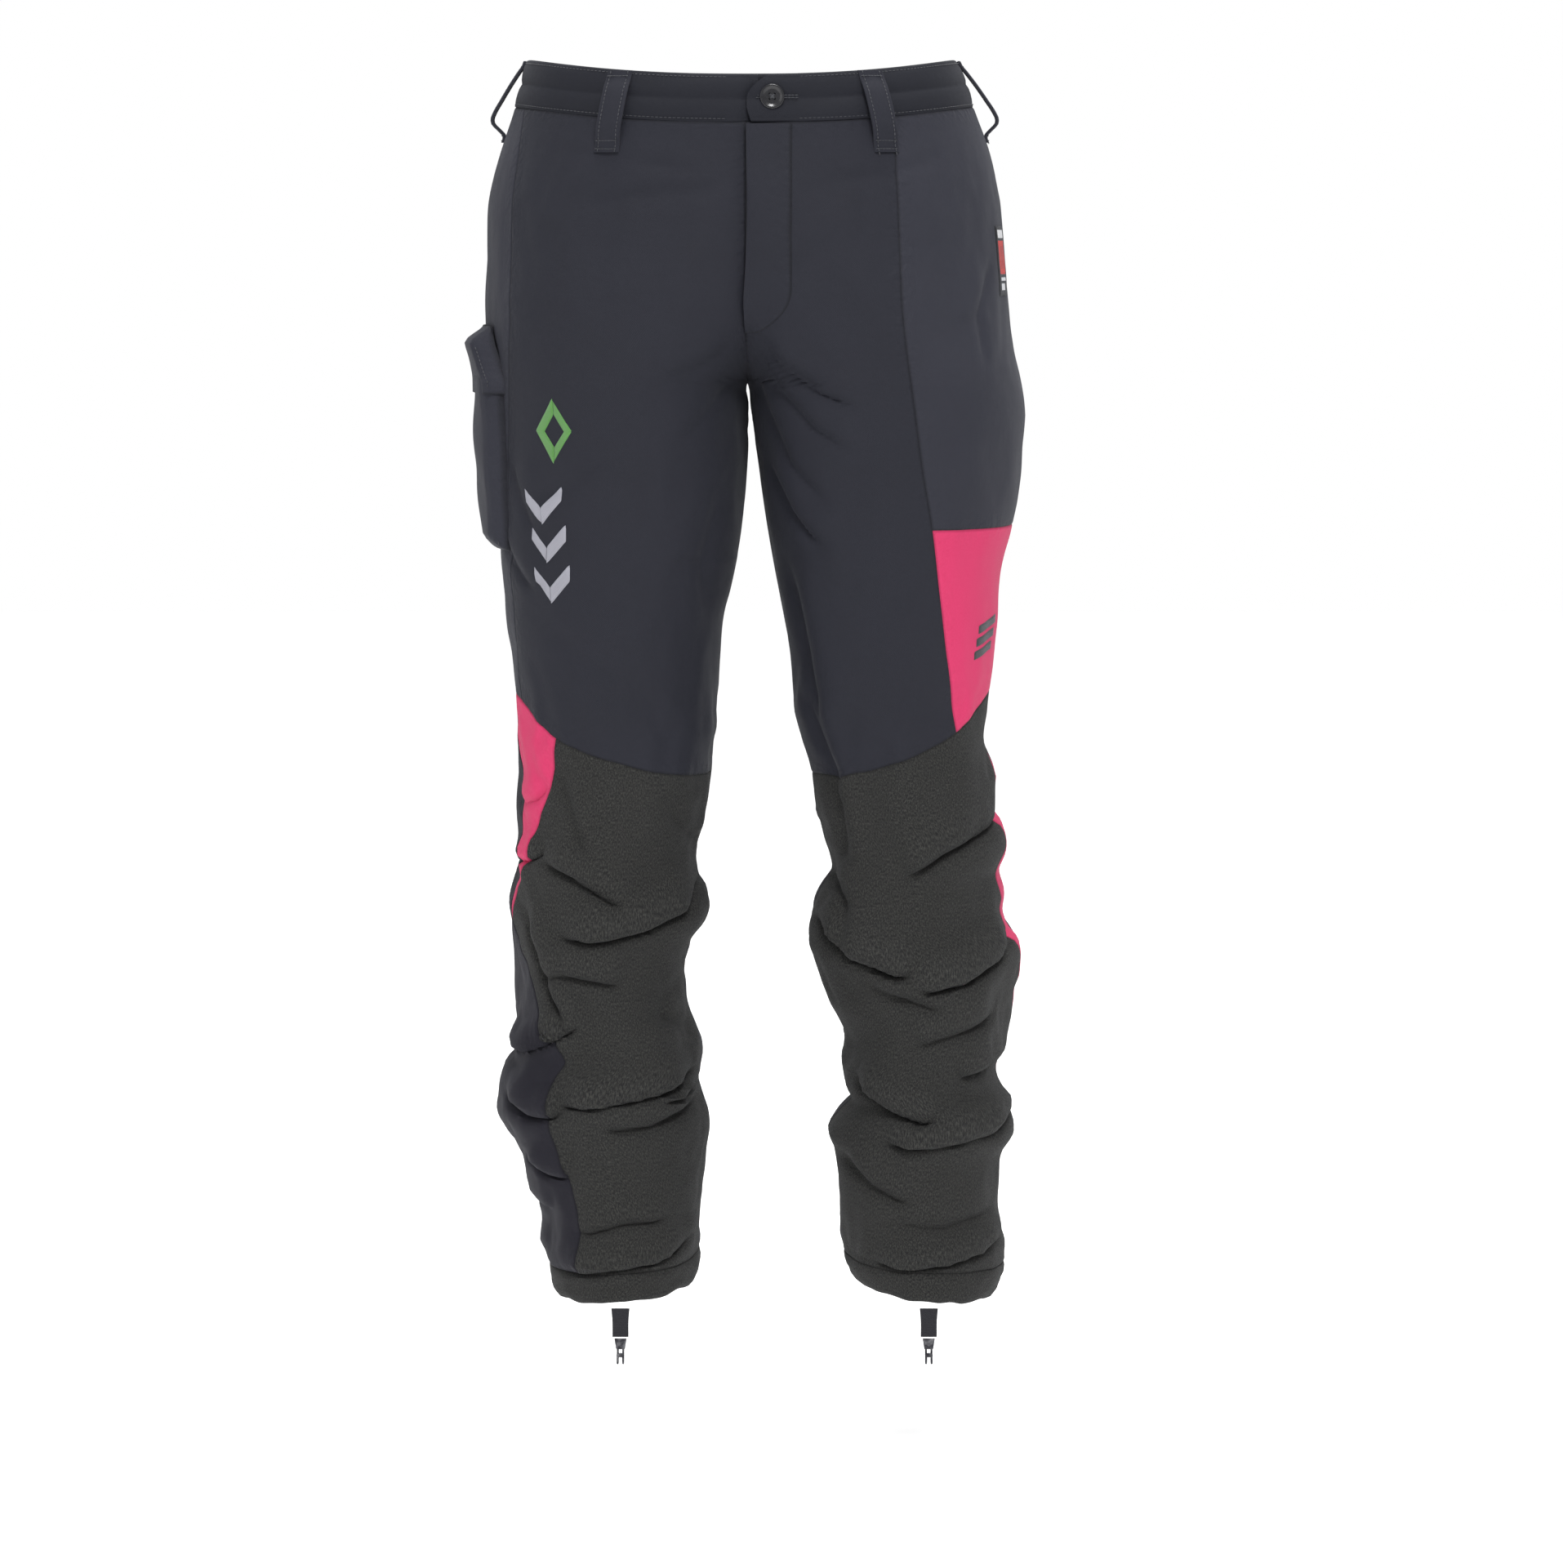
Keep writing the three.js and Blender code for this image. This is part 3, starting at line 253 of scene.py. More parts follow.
# ---------- folds ----------
# The padded cloth stacks in heavy folds on the shins and behind the knees, and hangs nearly
# smooth on the thighs. A fold is a line across the front, (x, z) in millimetres, with how
# wide and how deep it is. The cloth above it bulges over the cloth below.
KNEE_LEVEL = -560
DEEPER_ON_SHINS, DEEPER_ABOVE = 1.7, 1.25
FOLDS = [
    # right leg, its shin and then the knee
    ([(-158, -600), (-132, -612), (-105, -630), (-92, -640)], 11, 4.5),
    ([(-142, -660), (-110, -658), (-75, -650), (-50, -638), (-34, -618)], 12, 9),
    ([(-158, -684), (-125, -690), (-92, -697)], 12, 4),
    ([(-182, -752), (-163, -747), (-142, -733), (-130, -728)], 8, 9),
    ([(-172, -640), (-158, -678), (-148, -705), (-134, -732)], 8, 4),
    ([(-142, -788), (-115, -785), (-85, -780), (-40, -768)], 9, 9),
    ([(-76, -787), (-42, -780)], 6, 4),
    ([(-112, -806), (-75, -804), (-38, -792)], 14, 4),
    ([(-128, -890), (-95, -880), (-60, -880)], 10, 3.5),
    ([(-142, -921), (-105, -916), (-70, -911), (-44, -900)], 8, 6),
    ([(-188, -786), (-165, -797), (-140, -795)], 10, 6),
    ([(-172, -832), (-155, -842), (-135, -845)], 9, 4),
    ([(-178, -868), (-150, -874)], 9, 3),
    ([(-140, -535), (-131, -565), (-122, -600)], 10, 2.5),
    ([(-172, -560), (-160, -556), (-150, -545)], 7, 3),
    ([(-176, -604), (-164, -602), (-152, -592)], 7, 4),
    ([(-60, -560), (-40, -590)], 14, 2.5),
    ([(-70, -720), (-45, -735), (-38, -750)], 14, 3),
    # left leg, from the knee down
    ([(45, -475), (50, -495), (62, -525), (70, -560)], 9, 3),
    ([(60, -535), (70, -565), (76, -605)], 10, 3.5),
    ([(122, -612), (150, -592), (172, -582), (197, -572)], 14, 6),
    ([(52, -648), (80, -672), (105, -680), (127, -688)], 11, 9),
    ([(126, -697), (165, -692), (190, -676), (208, -656)], 11, 8),
    ([(80, -772), (110, -789), (143, -803)], 10, 8),
    ([(106, -818), (140, -816), (175, -810), (204, -802)], 9, 9),
    ([(72, -828), (95, -850), (127, -866)], 14, 4),
    ([(98, -916), (125, -916), (155, -911), (194, -898)], 8, 6),
    ([(60, -606), (75, -632), (78, -662)], 12, 4),
    ([(90, -692), (122, -706), (152, -716)], 14, 4),
    ([(126, -742), (165, -731), (192, -722)], 14, 4),
    ([(160, -766), (190, -762)], 10, 4),
    ([(110, -880), (150, -884), (190, -872)], 12, 2.5),
]
# Finer creases of the smooth thighs and hips.
CREASES = [
    # from the foot of the fly into the thighs, most of them into the left one
    ([(10, -206), (28, -226), (54, -246), (84, -258)], 9, 3.2),
    ([(8, -214), (26, -244), (50, -272), (80, -292)], 10, 2.8),
    ([(6, -222), (18, -262), (34, -300), (60, -330)], 10, 2.6),
    ([(16, -300), (34, -335), (56, -362)], 10, 4),
    ([(30, -372), (42, -420), (52, -470), (58, -508)], 12, 4.2),
    ([(-12, -210), (-30, -224), (-60, -236)], 10, 1.8),
    ([(-8, -228), (-26, -258), (-50, -286)], 12, 1.6),
    # the right thigh, next to its front seam and on the inside
    ([(-176, -300), (-166, -330), (-158, -352)], 10, 2.2),
    ([(-186, -352), (-172, -378), (-160, -396)], 10, 2.6),
    ([(-160, -330), (-130, -318), (-104, -296)], 16, 1.6),
    ([(-20, -318), (-34, -372), (-30, -420)], 16, 2.2),
    ([(-150, -420), (-120, -450), (-88, -468)], 22, 1.6),
    # below the waistband
    ([(-150, -66), (-90, -74), (-30, -84)], 12, 1.5),
    ([(-128, -108), (-70, -100), (-14, -96)], 14, 1.1),
    ([(150, -70), (110, -84), (60, -92)], 14, 1.2),
    ([(182, -150), (172, -190), (178, -230)], 8, 2.0),
]


def line_distance(x, z, path):
    """Distance to a path, the side of it, and how far along it, from 0 to 1."""
    best = np.full(x.shape, 1e9)
    side_of = np.zeros(x.shape)
    share = np.zeros(x.shape)
    lengths = [math.dist(a, b) for a, b in zip(path, path[1:])]
    total, gone = sum(lengths), 0
    for (ax, az), (bx, bz), length in zip(path, path[1:], lengths):
        dx, dz = (bx - ax) / length, (bz - az) / length
        t = np.clip((x - ax) * dx + (z - az) * dz, 0, length)
        ox, oz = x - ax - t * dx, z - az - t * dz
        distance = np.hypot(ox, oz)
        nearer = distance < best
        best = np.where(nearer, distance, best)
        cross = dx * oz - dz * ox
        side_of = np.where(nearer, np.sign(cross if dx > 0 else -cross), side_of)
        share = np.where(nearer, (gone + t) / total, share)
        gone += length
    return best, side_of, share


def front_folds(points, outward, paths):
    """How far the folds along these paths move each point out, and how far down."""
    out = np.zeros(points.shape[:-1])
    down = np.zeros(points.shape[:-1])
    facing = eased((0.25 - outward[..., 1]) / 0.5)
    for path, width, deep in paths:
        deep = deep * (DEEPER_ON_SHINS if path[0][1] < KNEE_LEVEL else DEEPER_ABOVE)
        distance, side_of, share = line_distance(points[..., 0], points[..., 2], path)
        s = distance * side_of
        fade = np.clip(np.minimum(share, 1 - share) * 5 + 0.12, 0, 1)
        end = np.exp(-np.maximum(0, distance - 3 * width) / width)
        strength = deep * facing * fade * end
        groove = np.exp(-((s / (0.36 * width)) ** 2))
        out += strength * (0.7 * ridge(s, 0.95, width) - 0.95 * groove + 0.25 * ridge(s, -1.2, width))
        down += strength * 0.6 * np.exp(-(((s - 0.5 * width) / (0.7 * width)) ** 2))
    return out, down


# Rings of folds that go round the leg where it isn't seen from the front: depth, the place
# round the leg where the fold is deepest, how far it reaches, its tilt, width and depth.
RING_FOLDS = {
    RIGHT: [
        (505, 0.86, 0.2, 30, 11, 5), (540, 0.8, 0.22, -24, 12, 6), (585, 0.84, 0.24, 18, 13, 7),
        (628, 0.78, 0.24, -20, 12, 7), (672, 0.83, 0.22, 26, 13, 7), (716, 0.75, 0.26, -18, 12, 7),
        (758, 0.72, 0.26, 12, 10, 9), (800, 0.78, 0.26, -22, 12, 8), (842, 0.72, 0.24, 18, 12, 6),
        (880, 0.8, 0.2, -12, 11, 5), (915, 0.7, 0.3, 6, 8, 5), (290, 0.85, 0.16, 60, 16, 4),
        (345, 0.8, 0.16, 50, 16, 3.5), (268, 0.95, 0.12, 40, 12, 6), (400, 0.82, 0.16, -30, 16, 3),
        (455, 0.88, 0.14, 40, 14, 4),
    ],
    LEFT: [
        (500, 0.84, 0.22, -28, 11, 5), (548, 0.8, 0.22, 22, 12, 6), (590, 0.86, 0.24, -18, 13, 7),
        (634, 0.76, 0.24, 20, 12, 7), (680, 0.82, 0.24, -24, 13, 8), (724, 0.74, 0.24, 16, 12, 7),
        (768, 0.8, 0.26, -14, 10, 8), (806, 0.72, 0.26, 14, 10, 8), (850, 0.8, 0.24, -18, 12, 6),
        (888, 0.74, 0.22, 10, 11, 5), (916, 0.72, 0.3, 6, 8, 5), (285, 0.86, 0.16, 55, 16, 4),
        (350, 0.8, 0.18, -45, 16, 3.5), (266, 0.95, 0.12, 42, 12, 6), (410, 0.84, 0.16, 35, 16, 3.2),
        (460, 0.86, 0.14, -35, 14, 4),
    ],
}


def ring_folds(side, u, depth):
    out = np.zeros(u.shape)
    down = np.zeros(u.shape)
    for at, place, reach, tilt, width, deep in RING_FOLDS[side]:
        across = (u - place) / reach
        s = at + tilt * across + 4 * np.sin(across * 5 + at) - depth
        strength = deep * np.exp(-(across**2) * 1.6)
        groove = np.exp(-((s / (0.42 * width)) ** 2))
        out += strength * (0.5 * ridge(s, 0.95, width) - 0.7 * groove + 0.2 * ridge(s, -1.2, width))
        down += strength * 0.4 * np.exp(-(((s - 0.5 * width) / (0.7 * width)) ** 2))
    return out, down


# The grid of each half of the garment, with a row each 4 mm down.
ROW_STEP = 4
ROWS = np.arange(0, HEM + 1, ROW_STEP, dtype=float)
ROWS[-1] = HEM
COLUMNS = np.linspace(0, 1, 141)
WAIST_HELD = 40  # above this depth nothing moves
hang = {}
for side in SIDES:
    u, depth = np.meshgrid(COLUMNS, ROWS)
    points, outward = worn_surface(side, u, depth)
    front_out, front_down = front_folds(points, outward, FOLDS)
    ring_out, ring_down = ring_folds(side, u, depth)
    uneven = np.array([
        noise.fractal(Vector(p) * 0.016 + Vector((0, 0, 7 * SIGN[side])), 0.9, 2.1, 3)
        for p in points.reshape(-1, 3)
    ]).reshape(u.shape)
    below_knee = np.clip((depth - 440) / 90, 0, 1)
    rumple = uneven * (0.9 + 2.6 * below_knee)
    # nothing moves at the waist seam, at the hem, or where the two halves and the inseam meet
    held = np.clip((depth - WAIST_HELD) / 40, 0, 1) * np.clip((HEM - 8 - depth) / 24, 0, 1)
    near_join = np.clip(np.minimum(u, 1 - u) / 0.045, 0, 1)
    held = held * np.where(depth < CROTCH + 30, near_join, np.clip(near_join + 0.25, 0, 1))
    points = points + outward * ((front_out + ring_out + rumple) * held)[..., None]
    points[..., 2] -= (front_down + ring_down) * held
    if side == RIGHT:
        # a shallow channel under the free edge of the fly
        under_fly = np.exp(-((u / 0.016) ** 2))
        under_fly = under_fly * np.clip((depth - 50) / 14, 0, 1) * np.clip((214 - depth) / 20, 0, 1)
        points = points - outward * (1.8 * under_fly)[..., None]
    # the hem rides up a little on the inside of the boot
    inward = (1 + np.cos(2 * math.pi * u)) / 2
    points[..., 2] += 9 * inward * np.clip((depth - 860) / 85, 0, 1)
    hang[side] = points


def grid_quads(rows, columns, flipped):
    ids = np.arange(rows * columns).reshape(rows, columns)
    quads = np.stack([ids[:-1, :-1], ids[1:, :-1], ids[1:, 1:], ids[:-1, 1:]], -1).reshape(-1, 4)
    return (quads[:, ::-1] if flipped else quads).tolist()


# The cloth itself settles into the folds: below the knee it is cut longer than the leg, and
# it is held along its seams, waist and hem and left to buckle, blown out a little from
# inside. What it moves is kept, less of it on the thighs.
SETTLING_FRAMES = 16
MOST_MOVED = 6


def settle(side):
    grid = hang[side]
    mesh = bpy.data.meshes.new(f"settling_{side}")
    mesh.from_pydata((grid.reshape(-1, 3) / 1000).tolist(), [], grid_quads(*grid.shape[:2], side == LEFT))
    settling = new_object(f"settling_{side}", mesh)
    u, depth = np.meshgrid(COLUMNS, ROWS)
    edge = np.minimum(u, 1 - u)
    held = (depth < 60) | (depth > HEM - 22) | (edge < 0.01) | ((depth < CROTCH + 12) & (edge < 0.05))
    group = settling.vertex_groups.new(name="held")
    group.add([int(k) for k in np.nonzero(held.ravel())[0]], 1.0, "REPLACE")
    settling.shape_key_add(name="worn")
    cut = settling.shape_key_add(name="cut")
    longer = grid.copy()
    longer[..., 2] -= 0.3 * np.maximum(0, depth - 450) + 0.004 * np.maximum(0, depth - 60)
    across = longer[..., :1] - longer[..., :1].mean(1, keepdims=True)
    longer[..., :1] += across * 0.03 * np.clip((depth[..., None] - 430) / 80, 0, 1)
    cut.data.foreach_set("co", (longer / 1000).astype(np.float32).ravel())
    cut.value = 0
    cloth = settling.modifiers.new("cloth", "CLOTH")
    how = cloth.settings
    how.quality = 5
    how.mass = 0.25
    how.tension_stiffness = how.compression_stiffness = 14
    how.shear_stiffness = 5
    how.bending_model = "ANGULAR"
    how.bending_stiffness = 0.7
    how.air_damping = 1.5
    how.effector_weights.gravity = 0
    how.vertex_group_mass = "held"
    how.rest_shape_key = cut
    how.use_pressure = True
    how.uniform_pressure_force = 1.2
    cloth.point_cache.frame_start = 1
    cloth.point_cache.frame_end = SETTLING_FRAMES
    for step in range(1, SETTLING_FRAMES + 1):
        bpy.context.scene.frame_set(step)
    settled = settling.evaluated_get(bpy.context.evaluated_depsgraph_get())
    moved = np.array([v.co[:] for v in settled.data.vertices]).reshape(grid.shape) * 1000 - grid
    bpy.context.scene.frame_set(1)
    bpy.data.objects.remove(settling)
    size = np.linalg.norm(moved, axis=-1, keepdims=True)
    moved = moved * (MOST_MOVED * np.tanh(size / MOST_MOVED) / np.maximum(size, 1e-6))
    return grid + moved * (0.4 + 0.6 * np.clip((depth - 420) / 80, 0, 1))[..., None]


for side in SIDES:
    hang[side] = settle(side)
# the same grid without folds
even = {side: worn_surface(side, *np.meshgrid(COLUMNS, ROWS))[0] for side in SIDES}

# ---------- cutting cloth from the hang ----------
def cubic(t):
    """How much each of four points in a row counts, t being the place between the middle two."""
    return np.stack([-t**3 + 2 * t**2 - t, 3 * t**3 - 5 * t**2 + 2, -3 * t**3 + 4 * t**2 + t, t**3 - t**2], -1) / 2


def on_garment(side, u, depth):
    """Points of the hung cloth in metres: the smooth body, what the grid adds to it, and
    the finer creases."""
    grid = hang[side] - even[side]
    r = np.clip(depth / ROW_STEP, 0, len(ROWS) - 1)
    c = np.clip(u, 0, 1) * (len(COLUMNS) - 1)
    i = np.clip(np.floor(r).astype(int), 0, len(ROWS) - 2)
    j = np.clip(np.floor(c).astype(int), 0, len(COLUMNS) - 2)
    wr, wc = cubic(r - i), cubic(c - j)
    total = 0
    for a in range(4):
        row = np.clip(i + a - 1, 0, len(ROWS) - 1)
        for b in range(4):
            column = np.clip(j + b - 1, 0, len(COLUMNS) - 1)
            total = total + grid[row, column] * (wr[..., a] * wc[..., b])[..., None]
    u, depth = np.broadcast_arrays(np.clip(u, 0, 1), np.clip(depth, 0, HEM))
    points, outward = worn_surface(side, u, depth)
    crease_out, crease_down = front_folds(points, outward, CREASES)
    fade = np.clip((depth - 60) / 30, 0, 1) * np.clip(np.minimum(u, 1 - u) / 0.03, 0, 1)
    points = points + outward * (crease_out * fade)[..., None] + total
    points[..., 2] -= crease_down * fade
    return points / 1000


def out_of_garment(side, u, depth):
    """The way out of the hung cloth."""
    low, high = np.clip(u - 0.004, 0, 1), np.clip(u + 0.004, 0, 1)
    around = on_garment(side, high, depth) - on_garment(side, low, depth)
    down = on_garment(side, u, depth + 1.5) - on_garment(side, u, depth - 1.5)
    out = np.cross(around, down) * -SIGN[side]
    size = np.linalg.norm(out, axis=-1, keepdims=True)
    smooth_out = worn_surface(side, u, depth)[1]
    out = np.where(size > 1e-9, out / np.maximum(size, 1e-9), smooth_out)
    out = np.where((out * smooth_out).sum(-1, keepdims=True) < 0, -out, out)
    return out


def girth_at(side, depth):
    """Length round the body at a depth, in millimetres."""
    u = np.linspace(0, 1, 41)
    line = worn_surface(side, u, np.full(u.shape, float(depth)))[0]
    return float(np.linalg.norm(np.diff(line, axis=0), axis=1).sum())


GIRTH_DEPTHS = np.arange(0, 950, 10.0)
GIRTHS = {side: np.array([girth_at(side, d) for d in GIRTH_DEPTHS]) for side in SIDES}


def around_at(side, depth):
    return np.interp(depth, GIRTH_DEPTHS, GIRTHS[side])


def map_on_body(side, u, depth):
    """A cloth's map: millimetres round the body from its side, and down from the waist."""
    return np.stack([(u - 0.5) * around_at(side, depth), -depth], -1)


def new_mesh(name, points, faces, cloth_map=None, seam_edge=None):
    mesh = bpy.data.meshes.new(name)
    mesh.from_pydata([tuple(p) for p in points], [], faces)
    if cloth_map is not None:
        layer = mesh.uv_layers.new(name="cloth")
        corners = np.empty(len(mesh.loops), dtype=np.int32)
        mesh.loops.foreach_get("vertex_index", corners)
        layer.data.foreach_set("uv", cloth_map[corners].astype(np.float32).ravel())
    if seam_edge is not None:
        attribute = mesh.attributes.new("seam", "FLOAT", "POINT")
        attribute.data.foreach_set("value", seam_edge.astype(np.float32))
    return new_object(name, mesh)


NO_SEAM = 60.0  # the distance to a sewn edge of cloth that has none near by


def grid_piece(name, side, points, cloth_map, seam=NO_SEAM):
    """A skin through a grid of points."""
    rows, columns = points.shape[:2]
    seam = np.broadcast_to(seam, (rows, columns)).ravel()
    return new_mesh(name, points.reshape(-1, 3), grid_quads(rows, columns, side == LEFT), cloth_map.reshape(-1, 2),
                    seam)


def finish_piece(piece, material, node, body, smooth_angle=50):
    """One material, smooth shading, and its place in the frame."""
    piece.data.materials.clear()
    piece.data.materials.append(material)
    select_only(piece)
    bpy.ops.object.shade_smooth_by_angle(angle=math.radians(smooth_angle))
    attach(piece, body)
    if node:
        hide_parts(*([node] if isinstance(node, str) else node))


def wall(piece, thickness):
    """Gives a skin a thickness in millimetres, inwards."""
    apply_modifier(piece, "SOLIDIFY", thickness=thickness / 1000, offset=-1, use_even_offset=False)


def spread(length, cell, edge=(0, 0.7, 1.6, 3.0)):
    """Shares from 0 to 1 along a length in millimetres, closer together at both ends."""
    near = [e / length for e in edge if e < length * 0.3]
    count = max(2, round(length / cell))
    middle = np.linspace(near[-1], 1 - near[-1], count + 1)
    return np.concatenate([near[:-1], middle, [1 - n for n in near[:-1]][::-1]])


# thickness of the outer cloth, of a flap's folded edge and of the lining, in millimetres
CLOTH, FLAP_CLOTH, LINING = 1.1, 1.7, 0.5
SEAM_DIP = 0.9  # how far an edge turns in where it is sewn


def cut_panel(side, from_u, to_u, top, bottom, lift=0.0, cell=4.0, sewn=(1, 1, 1, 1), puff=0.0,
              flare=0.0):
    """Points of a panel, its map and its distance to a sewn edge. from_u and to_u give the
    long edges as places round the body at a depth; top and bottom give its ends as depths
    at a place round the body. lift is how far it lies out of the garment, and flare how far
    its first long edge curls up and over."""
    middle = (top(0.5) + bottom(0.5)) / 2
    wide = max(
        abs(float(to_u(d)) - float(from_u(d))) * around_at(side, d)
        for d in np.linspace(top(0.5), bottom(0.5), 7)
    )
    middle_u = (from_u(middle), (from_u(middle) + to_u(middle)) / 2, to_u(middle))
    tall = max(float(bottom(u) - top(u)) for u in middle_u)
    across = spread(wide, cell)
    downward = spread(max(tall, 8), cell)
    s, t = np.meshgrid(across, downward)
    u = from_u(middle + 0 * s) + (to_u(middle + 0 * s) - from_u(middle + 0 * s)) * s
    for _ in range(6):
        high, low = top(u), bottom(u)
        depth = high + (low - high) * t
        left_edge, right_edge = from_u(depth), to_u(depth)
        u = left_edge + (right_edge - left_edge) * s
    around = around_at(side, depth)
    to_left = (u - left_edge) * around
    to_right = (right_edge - u) * around
    to_top, to_bottom = depth - high, low - depth
    seam = np.full(u.shape, NO_SEAM)
    for distance, is_sewn in zip((to_left, to_right, to_top, to_bottom), sewn):
        if is_sewn:
            seam = np.minimum(seam, distance)
    dip = SEAM_DIP * np.clip(1 - seam / 1.9, 0, 1) ** 2
    off = (lift - dip + puff * np.clip(seam / 14, 0, 1)) / 1000
    loose = np.exp(-to_left / 5.5) * np.clip((low - depth) / 26, 0, 1) * (0.8 + 0.2 * np.sin(depth / 13))
    off = off + flare * loose / 1000
    points = on_garment(side, u, depth) + out_of_garment(side, u, depth) * off[..., None]
    points[..., 0] -= SIGN[side] * (flare * loose * (0.12 + 0.26 * np.sin(depth / 31 + 1))) / 1000
    return points, map_on_body(side, u, depth), seam


def panel_piece(name, side, from_u, to_u, top, bottom, material, slot, body="trousers", thickness=CLOTH, **how):
    points, cloth_map, seam = cut_panel(side, from_u, to_u, top, bottom, **how)
    piece = grid_piece(name + "_cloth", side, points, cloth_map, seam)
    wall(piece, thickness)
    finish_piece(piece, material, name, body)
    return piece


# ---------- cloths ----------
# The weaves are drawn by thread count on each piece's own map, in millimetres, so that they
# follow the cloth round the leg.
def calculate(tree, operation, *values):
    return add_node(tree, "Math", dict(enumerate(values)), operation=operation).outputs[0]


def mix_colours(tree, share, first, second, **properties):
    """From the first to the second colour, as the share goes from 0 to 1."""
    return add_node(tree, "Mix", {0: share, 6: first, 7: second}, data_type="RGBA", **properties).outputs[2]


def map_range(tree, value, to_min, to_max, from_min=0, from_max=1):
    limits = {"From Min": from_min, "From Max": from_max, "To Min": to_min, "To Max": to_max}
    return add_node(tree, "MapRange", {"Value": value, **limits}).outputs[0]


def raise_by(tree, height, strength, distance, over=None):
    """A bump, laid over another one where there is one."""
    below = {} if over is None else {"Normal": over}
    node = add_node(tree, "Bump", {"Height": height, "Strength": strength, "Distance": distance, **below})
    return node.outputs["Normal"]


def weave_group():
    """Over-and-under threads: their height, and which of the two sets lies on top."""
    tree = bpy.data.node_groups.new("over_and_under_weave", "ShaderNodeTree")
    for name, direction, kind in (("Map", "INPUT", "Vector"), ("Threads", "INPUT", "Float"),
                                  ("Height", "OUTPUT", "Float"), ("Warp", "OUTPUT", "Float")):
        tree.interface.new_socket(name, in_out=direction, socket_type="NodeSocket" + kind)
    entry = tree.nodes.new("NodeGroupInput")
    leave = tree.nodes.new("NodeGroupOutput")
    scaled = add_node(tree, "VectorMath", {0: entry.outputs["Map"], "Scale": entry.outputs["Threads"]},
                      operation="SCALE").outputs[0]
    split = add_node(tree, "SeparateXYZ", {0: scaled})
    humps = [
        calculate(tree, "ABSOLUTE", calculate(tree, "SINE", calculate(tree, "MULTIPLY", split.outputs[k], math.pi)))
        for k in (0, 1)
    ]
    warp = add_node(tree, "TexChecker", {"Scale": 1, "Vector": scaled}).outputs["Fac"]
    over = calculate(tree, "MULTIPLY", humps[0], warp)
    under = calculate(tree, "MULTIPLY", humps[1], calculate(tree, "SUBTRACT", 1.0, warp))
    feed(leave, {"Height": calculate(tree, "ADD", over, under), "Warp": warp})
    return tree


WEAVE = weave_group()


def cloth_material(name, colour, deep_colour, threads, weave_bump, roughness, sheen, speck, speck_size, speck_light):
    """Woven cloth: the hollows of its weave are painted darker than its crowns, painted shade, and
    its colour varies softly over the piece; beside sewn edges it is drawn in and painted darker, painted shade; and it
    has a short sheen."""
    material, tree, shader = new_material(name)
    cloth_map = add_node(tree, "UVMap", uv_map="cloth").outputs[0]
    weave = add_node(tree, "Group", {"Map": cloth_map, "Threads": threads}, node_tree=WEAVE).outputs["Height"]
    # slubs: long thin streaks of lighter and darker yarn
    streaks = add_node(tree, "Mapping", {"Vector": cloth_map, "Scale": (1 / speck_size, 0.45 / speck_size, 1)})
    speckle = add_node(tree, "TexNoise", {"Vector": streaks.outputs[0], "Scale": 1.0, "Detail": 3.0,
                                          "Roughness": 0.7}).outputs["Fac"]
    specks = add_node(tree, "ValToRGB", {"Fac": speckle})
    specks.color_ramp.elements[0].position = 0.42
    specks.color_ramp.elements[1].position = 0.66
    cloudy = add_node(tree, "TexNoise", {"Vector": cloth_map, "Scale": 0.012, "Detail": 2.0}).outputs["Fac"]
    # the weave's crowns take the light colour and its hollows the deep one, painted shade, mixed with a cloudy random
    # tone over the piece
    lit = add_node(tree, "Clamp", {"Value": calculate(tree, "MULTIPLY_ADD", weave, 0.55, cloudy)}).outputs[0]
    base = mix_colours(tree, lit, (*deep_colour, 1), (*colour, 1))
    speck_share = calculate(tree, "MULTIPLY", specks.outputs["Color"], speck)
    specked = mix_colours(tree, speck_share, base, (*speck_light, 1))
    # painted shade: within 2.2 mm of a sewn edge the colour is multiplied down to 0.45 at the edge, standing for the
    # shadow in the seam and under an overlapping edge such as the fly's
    seam = add_node(tree, "Attribute", attribute_name="seam").outputs["Fac"]
    shade = map_range(tree, seam, 0.45, 1.0, 0, 2.2)
    # puckers beside the stitching fade out within 12 mm of a seam
    pucker = add_node(tree, "TexNoise", {"Vector": cloth_map, "Scale": 0.16, "Detail": 1.0}).outputs["Fac"]
    puckers = calculate(tree, "MULTIPLY", pucker, map_range(tree, seam, 1, 0.12, 1, 13))
    coarse = raise_by(tree, puckers, 0.55, 0.0028)
    fine = raise_by(tree, weave, weave_bump, 0.00035, coarse)
    feed(shader, {
        "Base Color": mix_colours(tree, 1, specked, shade, blend_type="MULTIPLY"),
        "Roughness": map_range(tree, speckle, roughness - 0.06, roughness + 0.06),
        "Normal": raise_by(tree, speckle, 0.3 + 0.5 * speck, 0.0005, fine),
        "Sheen Weight": sheen, "Sheen Roughness": 0.45, "Sheen Tint": (0.8, 0.82, 0.9, 1),
        "Specular IOR Level": 0.2,
    })
    return material


